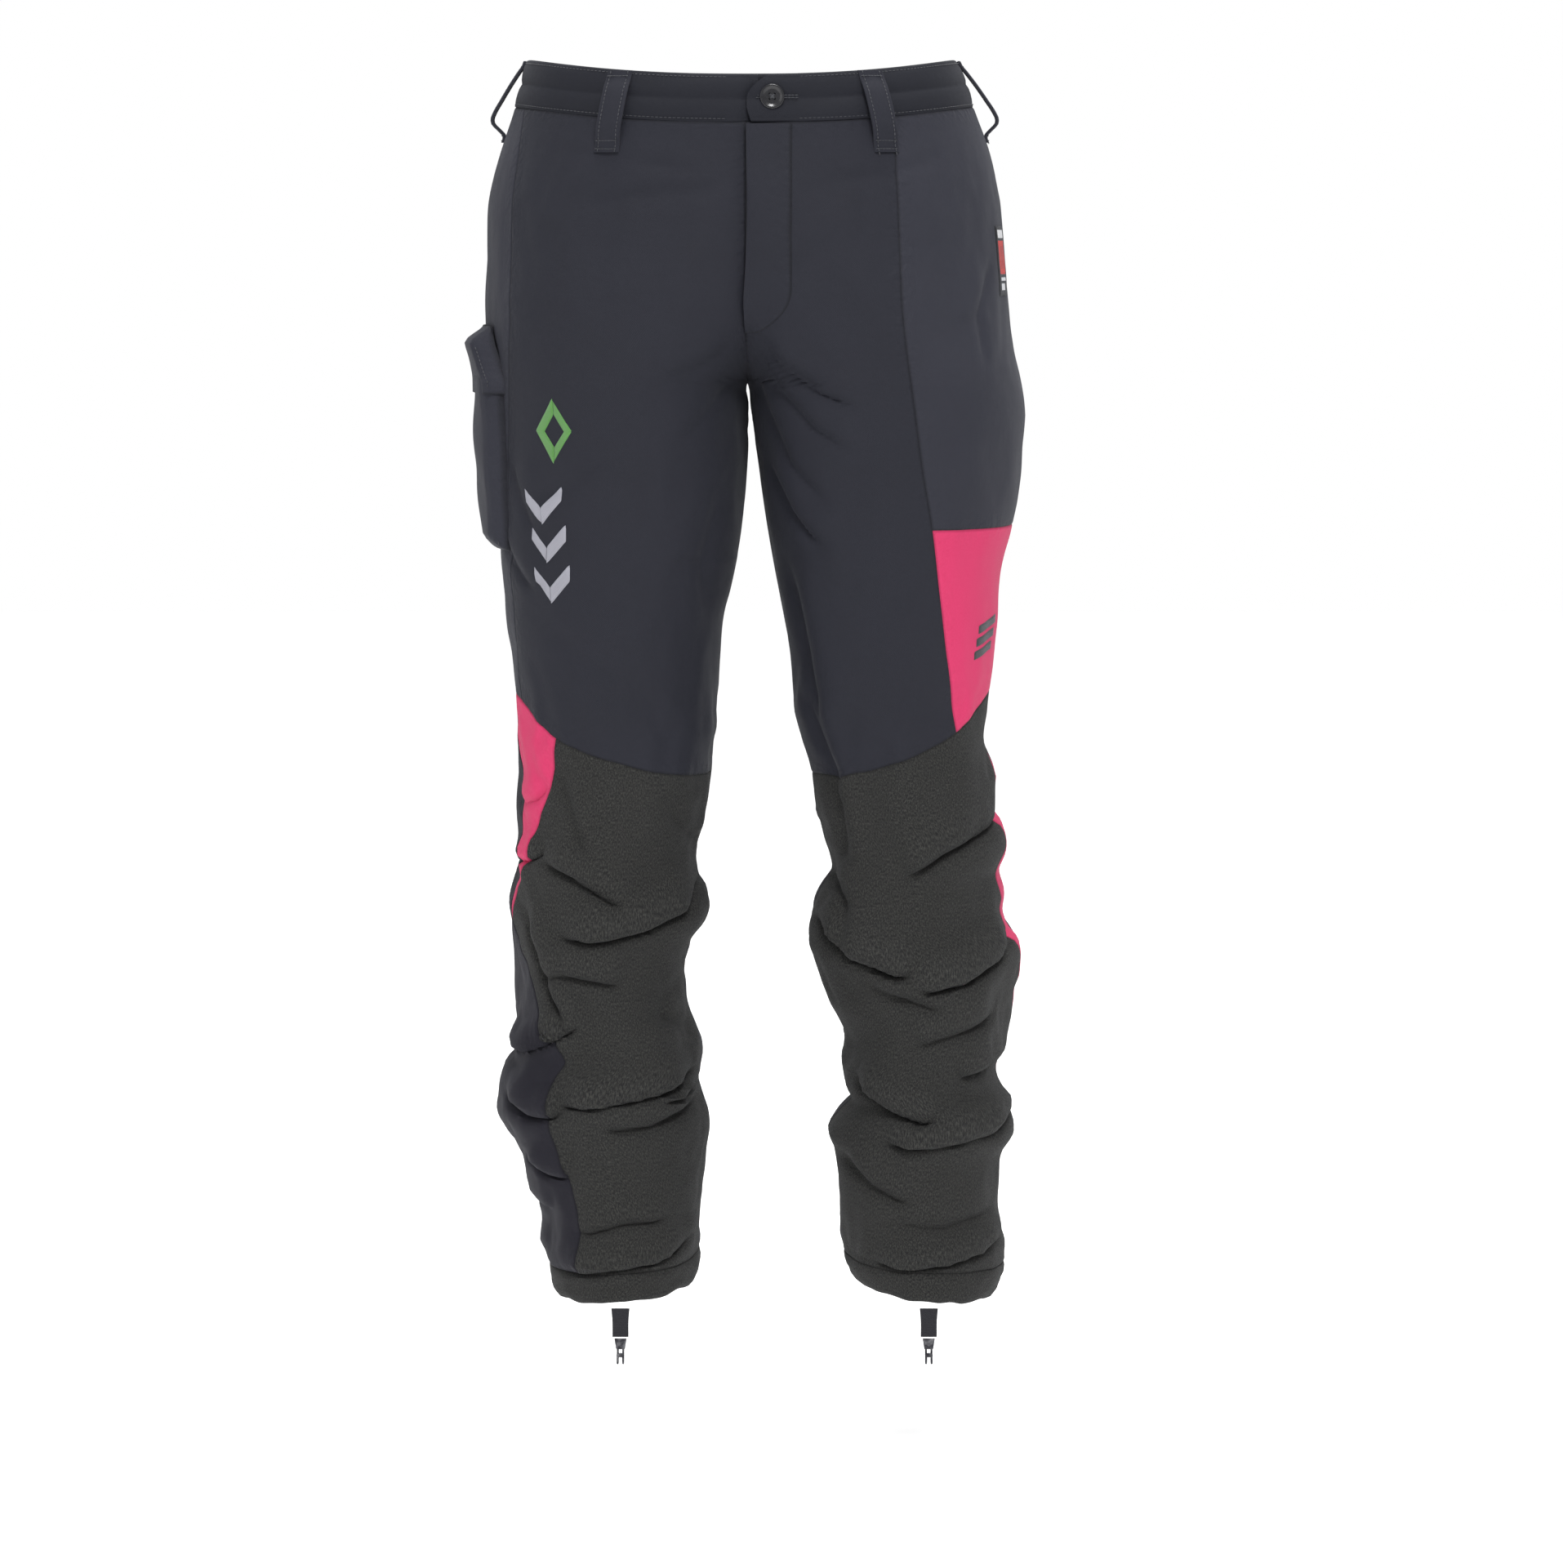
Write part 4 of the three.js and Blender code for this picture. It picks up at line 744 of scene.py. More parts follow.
slate_cloth = cloth_material(
    "slate_cloth", (0.0106, 0.0112, 0.0174), (0.0072, 0.0076, 0.0118), 1.6, 0.35, 0.72, 0.05,
    speck=0.10, speck_size=0.9, speck_light=(0.026, 0.026, 0.034),
)
# The side panels', pockets' and flaps' cloth is a lighter copy of the slate cloth: painted sheen of cloth seen at a
# grazing angle.
grazing_sheen_cloth = cloth_material(
    "grazing_sheen_cloth", (0.0172, 0.0178, 0.026), (0.0122, 0.0126, 0.0185), 1.6, 0.35, 0.7, 0.05,
    speck=0.10, speck_size=0.9, speck_light=(0.034, 0.035, 0.045),
)
band_cloth = cloth_material(
    "band_cloth", (0.0066, 0.0072, 0.0116), (0.0046, 0.005, 0.0082), 1.6, 0.3, 0.72, 0.04,
    speck=0.10, speck_size=0.9, speck_light=(0.02, 0.021, 0.028),
)
shin_cloth = cloth_material(
    "shin_cloth", (0.0102, 0.0102, 0.0106), (0.0052, 0.0052, 0.0055), 1.25, 0.7, 0.85, 0.03,
    speck=0.85, speck_size=0.85, speck_light=(0.047, 0.047, 0.043),
)
calf_cloth = cloth_material(
    "calf_cloth", (0.0082, 0.0076, 0.0125), (0.0056, 0.0052, 0.0085), 1.9, 0.3, 0.8, 0.04,
    speck=0.06, speck_size=0.8, speck_light=(0.016, 0.016, 0.024),
)
bright_cloth = cloth_material(
    "bright_cloth", (0.485, 0.027, 0.1), (0.41, 0.02, 0.08), 1.6, 0.35, 0.68, 0.03,
    speck=0.16, speck_size=0.9, speck_light=(0.6, 0.065, 0.17),
)

# ---------- outer panels ----------
# Each leg is sewn from a front, a side, a back and a yoke above the knee, and a shin and a
# stretch calf below it. The knee seam climbs towards the outside.
BAND_DIP, BAND_HEIGHT = 13, 36


def band_top(u):
    return np.where(np.asarray(u) < 0.5, BAND_DIP, BAND_DIP / 2) * np.cos(math.pi * np.asarray(u)) ** 2


def waist_seam(u):
    return band_top(u) + BAND_HEIGHT


KNEE = [(0, 540), (0.12, 537), (0.2, 532), (0.26, 523), (0.34, 506), (0.43, 481), (0.5, 474), (0.58, 474),
        (0.75, 480), (1, 490)]


def knee_seam(u):
    return smooth_through(KNEE, 1, np.asarray(u, float))


FRONT_SEAM = {
    RIGHT: [(40, 166), (105, 174), (180, 176), (240, 177), (300, 178), (350, 177), (400, 176), (450, 172), (500, 169)],
    LEFT: [(40, 108), (105, 112), (205, 117), (262, 125), (300, 130), (350, 138), (400, 144), (450, 150), (500, 156),
           (550, 159)],
}


def place_at(side, x, depth):
    """The place round the front half of the body that is x millimetres from the middle."""
    u = np.linspace(0, 0.5, 481)
    across = np.abs(worn_surface(side, u, np.full(u.shape, float(depth)))[0][:, 0])
    return float(np.interp(abs(x), across, u))


def smooth_line(rows):
    at = np.array([row[0] for row in rows], float)
    values = np.array([row[1] for row in rows], float)
    return lambda depth: np.interp(depth, at, values)


front_seam = {}
seam_depths = np.sort(np.concatenate([np.arange(36, 556, 4.0), CROTCH - np.geomspace(0.02, 14, 24)]))
for side in SIDES:
    seam_places = [place_at(side, smooth_through(FRONT_SEAM[side], 1, np.array(d)), d) for d in seam_depths]
    front_seam[side] = smooth_line(list(zip(seam_depths, seam_places)))
SIDE_BACK = 0.58  # where the side panel meets the back
BRIGHT_TOP = 350
SHIN_EDGE = {
    RIGHT: [(500, 0.33), (550, 0.35), (603, 0.4), (654, 0.46), (680, 0.412), (706, 0.37), (757, 0.315), (809, 0.32),
            (861, 0.315), (905, 0.32), (945, 0.34)],
    LEFT: [(450, 0.5), (500, 0.497), (550, 0.48), (603, 0.455), (654, 0.455), (706, 0.49), (757, 0.497), (809, 0.5)],
}
CALF_EDGE = {
    RIGHT: [(450, 0.46), (500, 0.465), (550, 0.44), (603, 0.43), (654, 0.461), (680, 0.412), (706, 0.37),
            (757, 0.315), (809, 0.32), (861, 0.315), (905, 0.32), (945, 0.34)],
    LEFT: [(450, 0.5), (500, 0.503), (550, 0.52), (603, 0.545), (654, 0.545), (706, 0.51), (757, 0.503), (809, 0.5)],
}
shin_edge = {side: smooth_line(SHIN_EDGE[side]) for side in SIDES}
calf_edge = {side: smooth_line(CALF_EDGE[side]) for side in SIDES}
CUFF_TOP = 921


def always(value):
    return lambda at: value + 0.0 * np.asarray(at)


def yoke_seam(u):
    return np.interp(u, (SIDE_BACK, 1), (95, 112))


for side in SIDES:
    side_foot = knee_seam if side == RIGHT else always(BRIGHT_TOP)
    front_edge, side_back, centre_back = front_seam[side], always(SIDE_BACK), always(1)
    # Each panel's cloth is painted darker along its sewn edges, painted shade; on the right front panel's centre edge
    # this is the painted shadow under the free edge of the fly.
    panel_piece(f"front_thigh_{side}", side, always(0), front_edge, waist_seam, knee_seam, slate_cloth,
                "slate_cloth", puff=0.5)
    for name, start, end, top, foot, cloth, slot in (
        ("side_panel", front_edge, side_back, waist_seam, side_foot, grazing_sheen_cloth, "slate_cloth"),
        ("back_yoke", side_back, centre_back, waist_seam, yoke_seam, slate_cloth, "slate_cloth"),
        ("back_thigh", side_back, centre_back, yoke_seam, knee_seam, slate_cloth, "slate_cloth"),
        ("shin_front", always(0), shin_edge[side], knee_seam, always(CUFF_TOP), shin_cloth, "shin_cloth"),
        ("calf_back", calf_edge[side], centre_back, knee_seam, always(CUFF_TOP), calf_cloth, "calf_cloth"),
    ):
        panel_piece(f"{name}_{side}", side, start, end, top, foot, cloth, slot)
for name, side, start, end, top, foot in (
    ("bright_thigh_left", LEFT, front_seam[LEFT], always(SIDE_BACK), always(BRIGHT_TOP), knee_seam),
    ("bright_calf_left", LEFT, shin_edge[LEFT], calf_edge[LEFT], knee_seam, always(807)),
    ("bright_knee_right", RIGHT, shin_edge[RIGHT], calf_edge[RIGHT], knee_seam, always(654)),
):
    panel_piece(name, side, start, end, top, foot, bright_cloth, "bright_cloth")

# ---------- stitching ----------
# Twisted thread in short raised stitches. One stitch is modelled, repeated along the seam
# and bent to it.
STITCH_PITCH, STITCH_LENGTH, THREAD = 3.3, 2.5, 0.32


def thread_material(name, colour, sheen=0.2):
    material, tree, shader = new_material(name)
    place = add_node(tree, "TexCoord").outputs["Object"]
    # the same twist raises the thread's crowns and paints its grooves darker: painted shade
    twist = add_node(tree, "TexWave", {"Vector": place, "Scale": 900.0, "Distortion": 2.0}).outputs["Fac"]
    feed(shader, {
        "Roughness": 0.5, "Sheen Weight": sheen,
        "Base Color": mix_colours(tree, twist, (*[c * 0.65 for c in colour], 1), (*colour, 1)),
        "Normal": raise_by(tree, twist, 0.4, 0.0003),
    })
    return material


def patchy_material(name, shader_inputs, patches, dark, light, between, rough):
    """A hard material whose colour and polish vary in patches."""
    material, tree, shader = new_material(name)
    place = add_node(tree, "TexCoord").outputs["Object"]
    patch = add_node(tree, "TexNoise", {"Vector": place, **patches}).outputs["Fac"]
    ramp = add_node(tree, "ValToRGB", {"Fac": patch})
    for k, colour in enumerate((dark, light)):
        ramp.color_ramp.elements[k].color = (*colour, 1)
        ramp.color_ramp.elements[k].position = between[k]
    feed(shader, {**shader_inputs, "Base Color": ramp.outputs["Color"], "Roughness": map_range(tree, patch, *rough)})
    return material


slate_thread = thread_material("slate_thread", (0.02, 0.022, 0.03))
rust_thread = thread_material("rust_thread", (0.13, 0.035, 0.025))


def stitch_line(name, points, thread=slate_thread, body="trousers", pitch=STITCH_PITCH, size=1.0):
    """A row of stitches along points, in metres."""
    curve = bpy.data.curves.new(name + "_path", "CURVE")
    curve.dimensions = "3D"
    curve.twist_mode = "MINIMUM"
    spline = curve.splines.new("POLY")
    spline.points.add(len(points) - 1)
    for point, at in zip(spline.points, points):
        point.co = (*at, 1)
    path = new_object(name + "_path", curve)
    stitch = primitive("uv_sphere", name, segments=6, ring_count=4, radius=1, rotation=(0, math.pi / 2, 0))
    bpy.ops.object.transform_apply(location=False, rotation=True, scale=False)
    stitch.scale = (STITCH_LENGTH / 2000, THREAD * size / 1000, THREAD * size / 1000)
    stitch.location = (pitch / 2000, 0, 0)
    bpy.ops.object.transform_apply(location=True, rotation=False, scale=True)
    apply_modifier(stitch, "ARRAY", fit_type="FIT_CURVE", curve=path, use_relative_offset=False,
                   use_constant_offset=True, constant_offset_displace=(pitch / 1000, 0, 0))
    apply_modifier(stitch, "CURVE", object=path, deform_axis="POS_X")
    bpy.data.objects.remove(path)
    finish_piece(stitch, thread, None, body, 60)
    return stitch


def seam_path(side, places, depths, lift=0.2):
    """Points on the cloth along a seam, places and depths being arrays."""
    return on_garment(side, places, depths) + out_of_garment(side, places, depths) * lift / 1000


def beside(side, seam, distance):
    """A line round the body at a distance in millimetres from a seam that runs down."""
    return lambda depth: seam(depth) + distance / around_at(side, depth)


ROWS_FROM_SEAM = (2.4, 8.0)
for side in SIDES:
    for row, distance in enumerate(ROWS_FROM_SEAM):
        depths = np.arange(54, float(knee_seam(0.3)) - 2 if side == RIGHT else 505, 3.0)
        line = beside(side, front_seam[side], distance if side == RIGHT else -distance)
        stitch_line(f"front_seam_stitches_{side}_{row}", seam_path(side, line(depths), depths))
    for row, distance in enumerate(ROWS_FROM_SEAM):
        places = np.linspace(0.01, 0.99, 260)
        stitch_line(f"knee_seam_stitches_{side}_{row}", seam_path(side, places, knee_seam(places) - distance))
    places = np.linspace(SIDE_BACK + 0.01, 0.99, 80)
    stitch_line(f"yoke_stitches_{side}", seam_path(side, places, yoke_seam(places) + 2.4))
    depths = np.arange(54, 468, 3.0)
    back_line = beside(side, always(SIDE_BACK), 2.4)
    stitch_line(f"side_seam_stitches_{side}", seam_path(side, back_line(depths), depths))
    depths = np.arange(60, CROTCH - 10, 3.0)
    seat_line = beside(side, always(1.0), -2.4)
    stitch_line(f"seat_seam_stitches_{side}", seam_path(side, seat_line(depths), depths))
places = np.linspace(float(front_seam[LEFT](352)) + 0.004, SIDE_BACK - 0.004, 60)
stitch_line("bright_panel_stitches", seam_path(LEFT, places, 0 * places + 347.6))
for row, distance in enumerate((2.2, 7.5)):
    depths = np.arange(676, 916, 3.0)
    line = beside(RIGHT, shin_edge[RIGHT], -distance)
    stitch_line(f"shin_seam_stitches_right_{row}", seam_path(RIGHT, line(depths), depths))

# ---------- waistband ----------
# A folded strip with an interlining, topstitched at its edges and creased along its middle
# where it has been bent. The left end laps over the right one in a rounded tab.
BAND_PROFILE = [
    (0.3, 1.0), (1.0, 0.985), (1.5, 0.95), (1.25, 0.93), (1.7, 0.9), (2.2, 0.82), (2.5, 0.7), (2.3, 0.6), (1.7, 0.545),
    (1.2, 0.51), (1.6, 0.475), (2.3, 0.41), (2.6, 0.3), (2.5, 0.18), (2.0, 0.1), (1.6, 0.07), (1.6, 0.04),
    (1.0, 0.012), (-0.2, 0.0), (-1.6, 0.004), (-2.8, 0.04), (-3.2, 0.12), (-3.3, 0.5), (-3.2, 0.92), (-2.4, 0.99),
    (-1.0, 1.0),
]


def loft_piece(name, rings, cloth_map, closed=False):
    """A skin over rings of points, capped at both ends unless it closes on itself."""
    rings = np.asarray(rings)
    count, around = rings.shape[:2]
    ids = np.arange(count * around).reshape(count, around)
    faces = []
    for i in range(count if closed else count - 1):
        k = (i + 1) % count
        for j in range(around):
            m = (j + 1) % around
            faces.append((int(ids[i, j]), int(ids[k, j]), int(ids[k, m]), int(ids[i, m])))
    if not closed:
        faces.append(tuple(int(q) for q in ids[0]))
        faces.append(tuple(int(q) for q in ids[-1][::-1]))
    piece = new_mesh(name, rings.reshape(-1, 3), faces, np.asarray(cloth_map).reshape(-1, 2),
                     np.full(count * around, NO_SEAM))
    face_outward(piece)
    return piece


def body_point(side, u, depth, off):
    """Points of the smooth body, off millimetres out of it, in metres."""
    point, outward = worn_surface(side, np.asarray(u, float), np.asarray(depth, float))
    return (point + outward * np.asarray(off, float)[..., None]) / 1000


def band_piece(name, columns, rise=None, tuck=None):
    """columns are (side, place round the waist, distance along the band). rise lifts the
    band's face and tuck sets it back, both by place in the list. The inner face has its own
    part of the map."""
    rings, maps = [], []
    for k, (side, u, along_band) in enumerate(columns):
        top, bottom = float(band_top(u)) + 0.3, float(waist_seam(u)) - 0.3
        lifted, set_back = rise[k] if rise else 0.0, tuck[k] if tuck else 0.0
        ring, ring_map = [], []
        for off, share in BAND_PROFILE:
            depth = top + (bottom - top) * share
            wave = 0.35 * math.sin(along_band * 0.055 + share * 4) + 0.25 * math.sin(along_band * 0.021 + share * 7)
            off = off + (wave if off > 0.5 else 0) + lifted + set_back
            ring.append(body_point(side, u, depth, off))
            ring_map.append((along_band, -depth + (40 if off < 0 else 0)))
        rings.append(ring)
        maps.append(ring_map)
    return loft_piece(name, rings, maps)


def waist_columns(side, start, end, count):
    line = np.linspace(start, end, count)
    points = body_point(side, line, 0 * line + 20, 0 * line) * 1000
    lengths = np.concatenate([[0], np.cumsum(np.linalg.norm(np.diff(points, axis=0), axis=1))])
    return [(side, float(u), float(l)) for u, l in zip(line, lengths)]


BAND_SPLIT = 0.6
TAB = 9  # how far the right end runs on under the left one
tab_end = place_at(LEFT, TAB, 25)
right_part = waist_columns(RIGHT, BAND_SPLIT - 0.001, 0.0, 90)
under_part = [(LEFT, u, right_part[-1][2] + l) for _, u, l in waist_columns(LEFT, 0.0, tab_end, 6)[1:]]
right_columns = right_part + under_part
reach_end = right_columns[-1][2]
tucks = [-4.2 * float(np.clip(1 - (reach_end - l) / 16, 0, 1)) ** 1.5 for _, _, l in right_columns]
waistband_right = band_piece("waistband_right_cloth", right_columns, tuck=tucks)
finish_piece(waistband_right, band_cloth, "waistband_right", "trousers", 60)

left_columns = waist_columns(LEFT, 0.0005, BAND_SPLIT - 0.001, 96)
lifts = [1.6 * float(np.clip(1 - l / 26, 0, 1)) for _, _, l in left_columns]
waistband_left = band_piece("waistband_left_cloth", left_columns, rise=lifts)
# the tab's upper corner is cut round
for vertex in waistband_left.data.vertices:
    x, z = vertex.co.x * 1000, -vertex.co.z * 1000
    share = (z - BAND_DIP) / BAND_HEIGHT
    edge = 17 * max(0.0, 1 - share / 0.5) ** 1.8 + 3.5 * max(0.0, share - 0.72) / 0.28
    if x < 40:
        vertex.co.x = (edge + x * (40 - edge) / 40) / 1000
finish_piece(waistband_left, band_cloth, "waistband_left", "trousers", 60)

back_columns = waist_columns(RIGHT, BAND_SPLIT + 0.001, 1.0, 60)
last = back_columns[-1][2]
other_side = waist_columns(LEFT, 1.0, BAND_SPLIT + 0.001, 60)[1:]
back_columns += [(s, u, last + l) for s, u, l in other_side]
waistband_back = band_piece("waistband_back_cloth", back_columns)
finish_piece(waistband_back, band_cloth, "waistband_back", "trousers", 60)


for part, columns in (("right", right_columns[:-8]), ("left", left_columns[9:]), ("back", back_columns)):
    for edge, share, off in (("foot", 0.925, 1.7), ("head", 0.075, 1.9)):
        line = []
        for side, u, _ in columns:
            top, bottom = float(band_top(u)), float(waist_seam(u))
            line.append(body_point(side, u, top + (bottom - top) * share, off))
        stitch_line(f"band_{edge}_stitches_{part}", line)

# ---------- underlap ----------
# The plain end of the right band behind the tab, two plies thick. It carries the button.
underlap_end = place_at(LEFT, 42, 30)


def inner_sheet(name, side, us, depths, offs, material, node, thickness=0.9):
    """A sheet inside the garment: places round the body, depths, and offsets out of it."""
    points = body_point(side, us, depths, offs)
    piece = grid_piece(name, side, points, map_on_body(side, us, depths))
    wall(piece, thickness)
    finish_piece(piece, material, node, "trousers")
    return piece


s, t = np.meshgrid(np.linspace(0.001, underlap_end, 18), np.linspace(16, 48, 12))
inner_sheet("waistband_underlap_cloth", LEFT, s, t, -7.2 + 0 * s, band_cloth, "waistband_underlap",
            thickness=2.2)

# ---------- button ----------
# A moulded four-hole button with a raised rim, sewn on with crossed thread over a shank.
BUTTON_X, BUTTON_RADIUS, BUTTON_THICK = 19, 9, 3.4
button_depth = BAND_DIP + BAND_HEIGHT * 0.47
button_place = place_at(LEFT, BUTTON_X, button_depth)
button_seat = body_point(LEFT, button_place, button_depth, 1.5)
button_out = Vector(worn_surface(LEFT, np.array(button_place), np.array(button_depth))[1]).normalized()
button = primitive("cylinder", "waist_button_moulded", vertices=72, radius=BUTTON_RADIUS, depth=BUTTON_THICK)
shape = bmesh.new()
shape.from_mesh(button.data)
front_face = max(shape.faces, key=lambda f: f.calc_center_median().z)
for thickness_in, sink in ((1.6, 0.0), (1.1, -0.75), (0.9, -0.35), (1.4, 0.18)):
    bmesh.ops.inset_region(shape, faces=[front_face], thickness=thickness_in)
    for vertex in front_face.verts:
        vertex.co.z += sink
shape.to_mesh(button.data)
shape.free()
apply_modifier(button, "BEVEL", width=0.55, segments=4, limit_method="ANGLE", angle_limit=math.radians(38))
for hx, hy in ((1, 1), (1, -1), (-1, 1), (-1, -1)):
    drill = primitive("cylinder", "drill", vertices=20, radius=0.85, depth=12, location=(1.75 * hx, 1.75 * hy, 0))
    apply_modifier(button, "BOOLEAN", operation="DIFFERENCE", object=drill)
    bpy.data.objects.remove(drill)
turn = button_out.to_track_quat("Z", "Y")


def seat_on_band(piece, rise):
    for vertex in piece.data.vertices:
        at = turn @ (vertex.co / 1000)
        vertex.co = at + Vector(button_seat) + button_out * (rise / 1000)


seat_on_band(button, BUTTON_THICK / 2)
button_plastic = patchy_material(
    "button_plastic", {"Coat Weight": 0.3, "Coat Roughness": 0.12, "Specular IOR Level": 0.3},
    {"Scale": 380.0, "Detail": 4.0, "Distortion": 1.2}, (0.003, 0.003, 0.004), (0.013, 0.013, 0.016),
    (0, 1), (0.18, 0.34),
)
finish_piece(button, button_plastic, "waist_button", "waist_button", 35)

for number, (ax, ay, bx, by) in enumerate(((1, 1, -1, -1), (1, -1, -1, 1))):
    for strand in (-0.35, 0.35):
        cross = primitive("cylinder", f"button_cross_stitch_{number}_{'a' if strand < 0 else 'b'}", vertices=10,
                          radius=0.33, depth=5.4)
        arch = bmesh.new()
        arch.from_mesh(cross.data)
        for level in (1.6, -1.6):
            slice_mesh(arch, (0, 0, level), (0, 0, 1))
        arch.to_mesh(cross.data)
        arch.free()
        angle = math.atan2(by - ay, bx - ax)
        for vertex in cross.data.vertices:
            along_thread, aside, up = vertex.co.z, vertex.co.x + strand, vertex.co.y
            sag = -1.3 if abs(along_thread) > 2 else 0.0
            vertex.co = (
                along_thread * math.cos(angle) - aside * math.sin(angle),
                along_thread * math.sin(angle) + aside * math.cos(angle),
                up + 0.75 + sag + 0.12 * number,
            )
        seat_on_band(cross, BUTTON_THICK / 2 - 0.1)
        finish_piece(cross, slate_thread, None, "waist_button", 60)

shank = primitive("cylinder", "button_thread_shank", vertices=16, radius=1.2, depth=8.4)
wound = bmesh.new()
wound.from_mesh(shank.data)
for k in range(12):
    slice_mesh(wound, (0, 0, -3.9 + 0.7 * k), (0, 0, 1))
for vertex in wound.verts:
    bulge = 1 + 0.12 * math.sin(vertex.co.z * 9)
    vertex.co.x *= bulge
    vertex.co.y *= bulge
wound.to_mesh(shank.data)
wound.free()
seat_on_band(shank, -4.0)
finish_piece(shank, slate_thread, "button_thread", "trousers", 60)

# the buttonhole runs on beyond the button, bound with close stitches
for row in (-0.9, 0.9):
    places = np.linspace(place_at(LEFT, BUTTON_X - 12, 29), place_at(LEFT, BUTTON_X + 18, 29), 12)
    hole_path = body_point(LEFT, places, 0 * places + button_depth + row, 0 * places + 3.0)
    stitch_line(f"buttonhole_stitches_{'low' if row > 0 else 'high'}", hole_path, pitch=2.6, size=1.3)

# ---------- belt loops ----------
# Folded straps, stitched down both long edges, sewn on at the top of the band and below it.
LOOP_WIDTH = 19.5
LOOP_SECTION = [
    (-0.5, 0.0), (-0.5, 0.75), (-0.46, 0.98), (-0.4, 1.0), (-0.35, 0.86), (-0.3, 1.0), (-0.1, 1.08), (0.1, 1.08),
    (0.3, 1.0), (0.35, 0.86), (0.4, 1.0), (0.46, 0.98), (0.5, 0.75), (0.5, 0.0), (0.46, -0.1), (0.2, -0.04),
    (-0.2, -0.04), (-0.46, -0.1),
]
LOOP_THICK = 1.8
LOOP_BOW = 0.8  # how far a strap's long edges lie below its middle
FLAT_LOOP = [(0, 2.4), (4, 2.6), (8, 3.6), (13, 5.6), (22, 7.2), (34, 7.6), (42, 7.0), (49, 4.6), (53, 2.6), (56, 1.5),
             (60, 1.4)]
SIDE_LOOP = [(0, 2.4), (4, 2.8), (9, 5.0), (18, 8.6), (30, 12.6), (39, 15.2), (43, 15.6), (46, 14.4), (51, 8.0),
             (55, 3.0), (58, 1.6), (61, 1.4)]
LOOPS = [
    ("belt_loop_front_right", RIGHT, place_at(RIGHT, 97, 40), FLAT_LOOP),
    ("belt_loop_front_left", LEFT, place_at(LEFT, 97, 40), FLAT_LOOP),
    ("belt_loop_side_right", RIGHT, 0.5, SIDE_LOOP), ("belt_loop_side_left", LEFT, 0.5, SIDE_LOOP),
    ("belt_loop_back_right", RIGHT, 0.8, FLAT_LOOP), ("belt_loop_back_left", LEFT, 0.8, FLAT_LOOP),
    ("belt_loop_centre_back", RIGHT, 0.9999, FLAT_LOOP),
]
for name, side, u, course in LOOPS:
    top = float(band_top(u)) + 1
    downs = np.concatenate([np.linspace(0, 8, 8), np.linspace(10, 48, 20), np.linspace(49.5, course[-1][0], 10)])
    offs = smooth_through(course, 1, downs)
    outward = worn_surface(side, np.array(u), np.array(40.0))[1]
    across = np.cross(outward, (0, 0, 1))
    rings, maps, left_row, right_row = [], [], [], []
    for down, off in zip(downs, offs):
        base = body_point(side, u, top + down, 0.0) * 1000
        slope = (np.interp(down + 1, downs, offs) - np.interp(down - 1, downs, offs)) / 2
        up_out = np.array([outward[0], outward[1], slope]) / math.hypot(1, slope)
        ring = []
        for share, height in LOOP_SECTION:
            bend = -LOOP_BOW * (share * 2) ** 2
            ring.append((base + outward * (off + bend) + across * share * LOOP_WIDTH
                         + up_out * height * LOOP_THICK) / 1000)
        rings.append(ring)
        maps.append([(share * LOOP_WIDTH, -down * 1.1) for share, _ in LOOP_SECTION])
        for row, share in ((left_row, -0.35), (right_row, 0.35)):
            row.append((base + outward * (off - LOOP_BOW * 0.49) + across * share * LOOP_WIDTH + up_out * 1.75) / 1000)
    loop = loft_piece(name + "_cloth", rings, maps)
    finish_piece(loop, slate_cloth, name, "trousers", 45)
    stitch_line(name + "_stitches_a", left_row, pitch=3.0)
    stitch_line(name + "_stitches_b", right_row, pitch=3.0)
    feet = (51.5, 57.5) if course is FLAT_LOOP else (56.0, 59.5)
    bars = [(f"foot_stitches_{k}", down, float(np.interp(down, downs, offs)) + 1.9) for k, down in enumerate(feet)]
    for ending, down, off in [*bars, ("head_stitches", 4, 4.6)]:
        base = body_point(side, u, top + down, off) * 1000
        bar = [(base + across * share * LOOP_WIDTH) / 1000 for share in np.linspace(-0.4, 0.4, 6)]
        stitch_line(f"{name}_{ending}", bar, pitch=2.4, size=1.15)

# ---------- fly ----------
# The placket is a facing sewn behind a folded edge; its stitching turns in at the foot like
# a J, with a short bar of stitches above the turn.
PLACKET_TOP, PLACKET_FOOT, PLACKET_WIDTH = 50, 202, 33


def placket_x(depth):
    t = np.clip((depth - (PLACKET_FOOT - 32)) / 32, 0, 1)
    return PLACKET_WIDTH - 24 * t**2.4


placket_depths = np.arange(46, 208, 2.0)
placket_places = [place_at(LEFT, float(placket_x(d)), d) for d in placket_depths]
placket_edge = smooth_line(list(zip(placket_depths, placket_places)))
panel_piece("fly_placket", LEFT, always(0.0004), placket_edge, always(PLACKET_TOP), always(PLACKET_FOOT), slate_cloth,
            "slate_cloth", lift=1.6, cell=3.0, sewn=(0, 1, 0, 1), flare=4.0)
depths = np.arange(52, PLACKET_FOOT - 2, 2.5)
inset_edge = beside(LEFT, placket_edge, -2.2)
stitch_line("placket_stitches", seam_path(LEFT, inset_edge(depths), depths, lift=1.75), rust_thread, size=0.9)
places = np.linspace(0.003, float(placket_edge(PLACKET_FOOT - 2)) - 0.003, 10)
stitch_line("placket_foot_stitches", seam_path(LEFT, places, 0 * places + PLACKET_FOOT - 2.4, lift=1.75), rust_thread,
            size=0.9)
places = np.linspace(0.02, float(placket_edge(98)) - 0.004, 14)
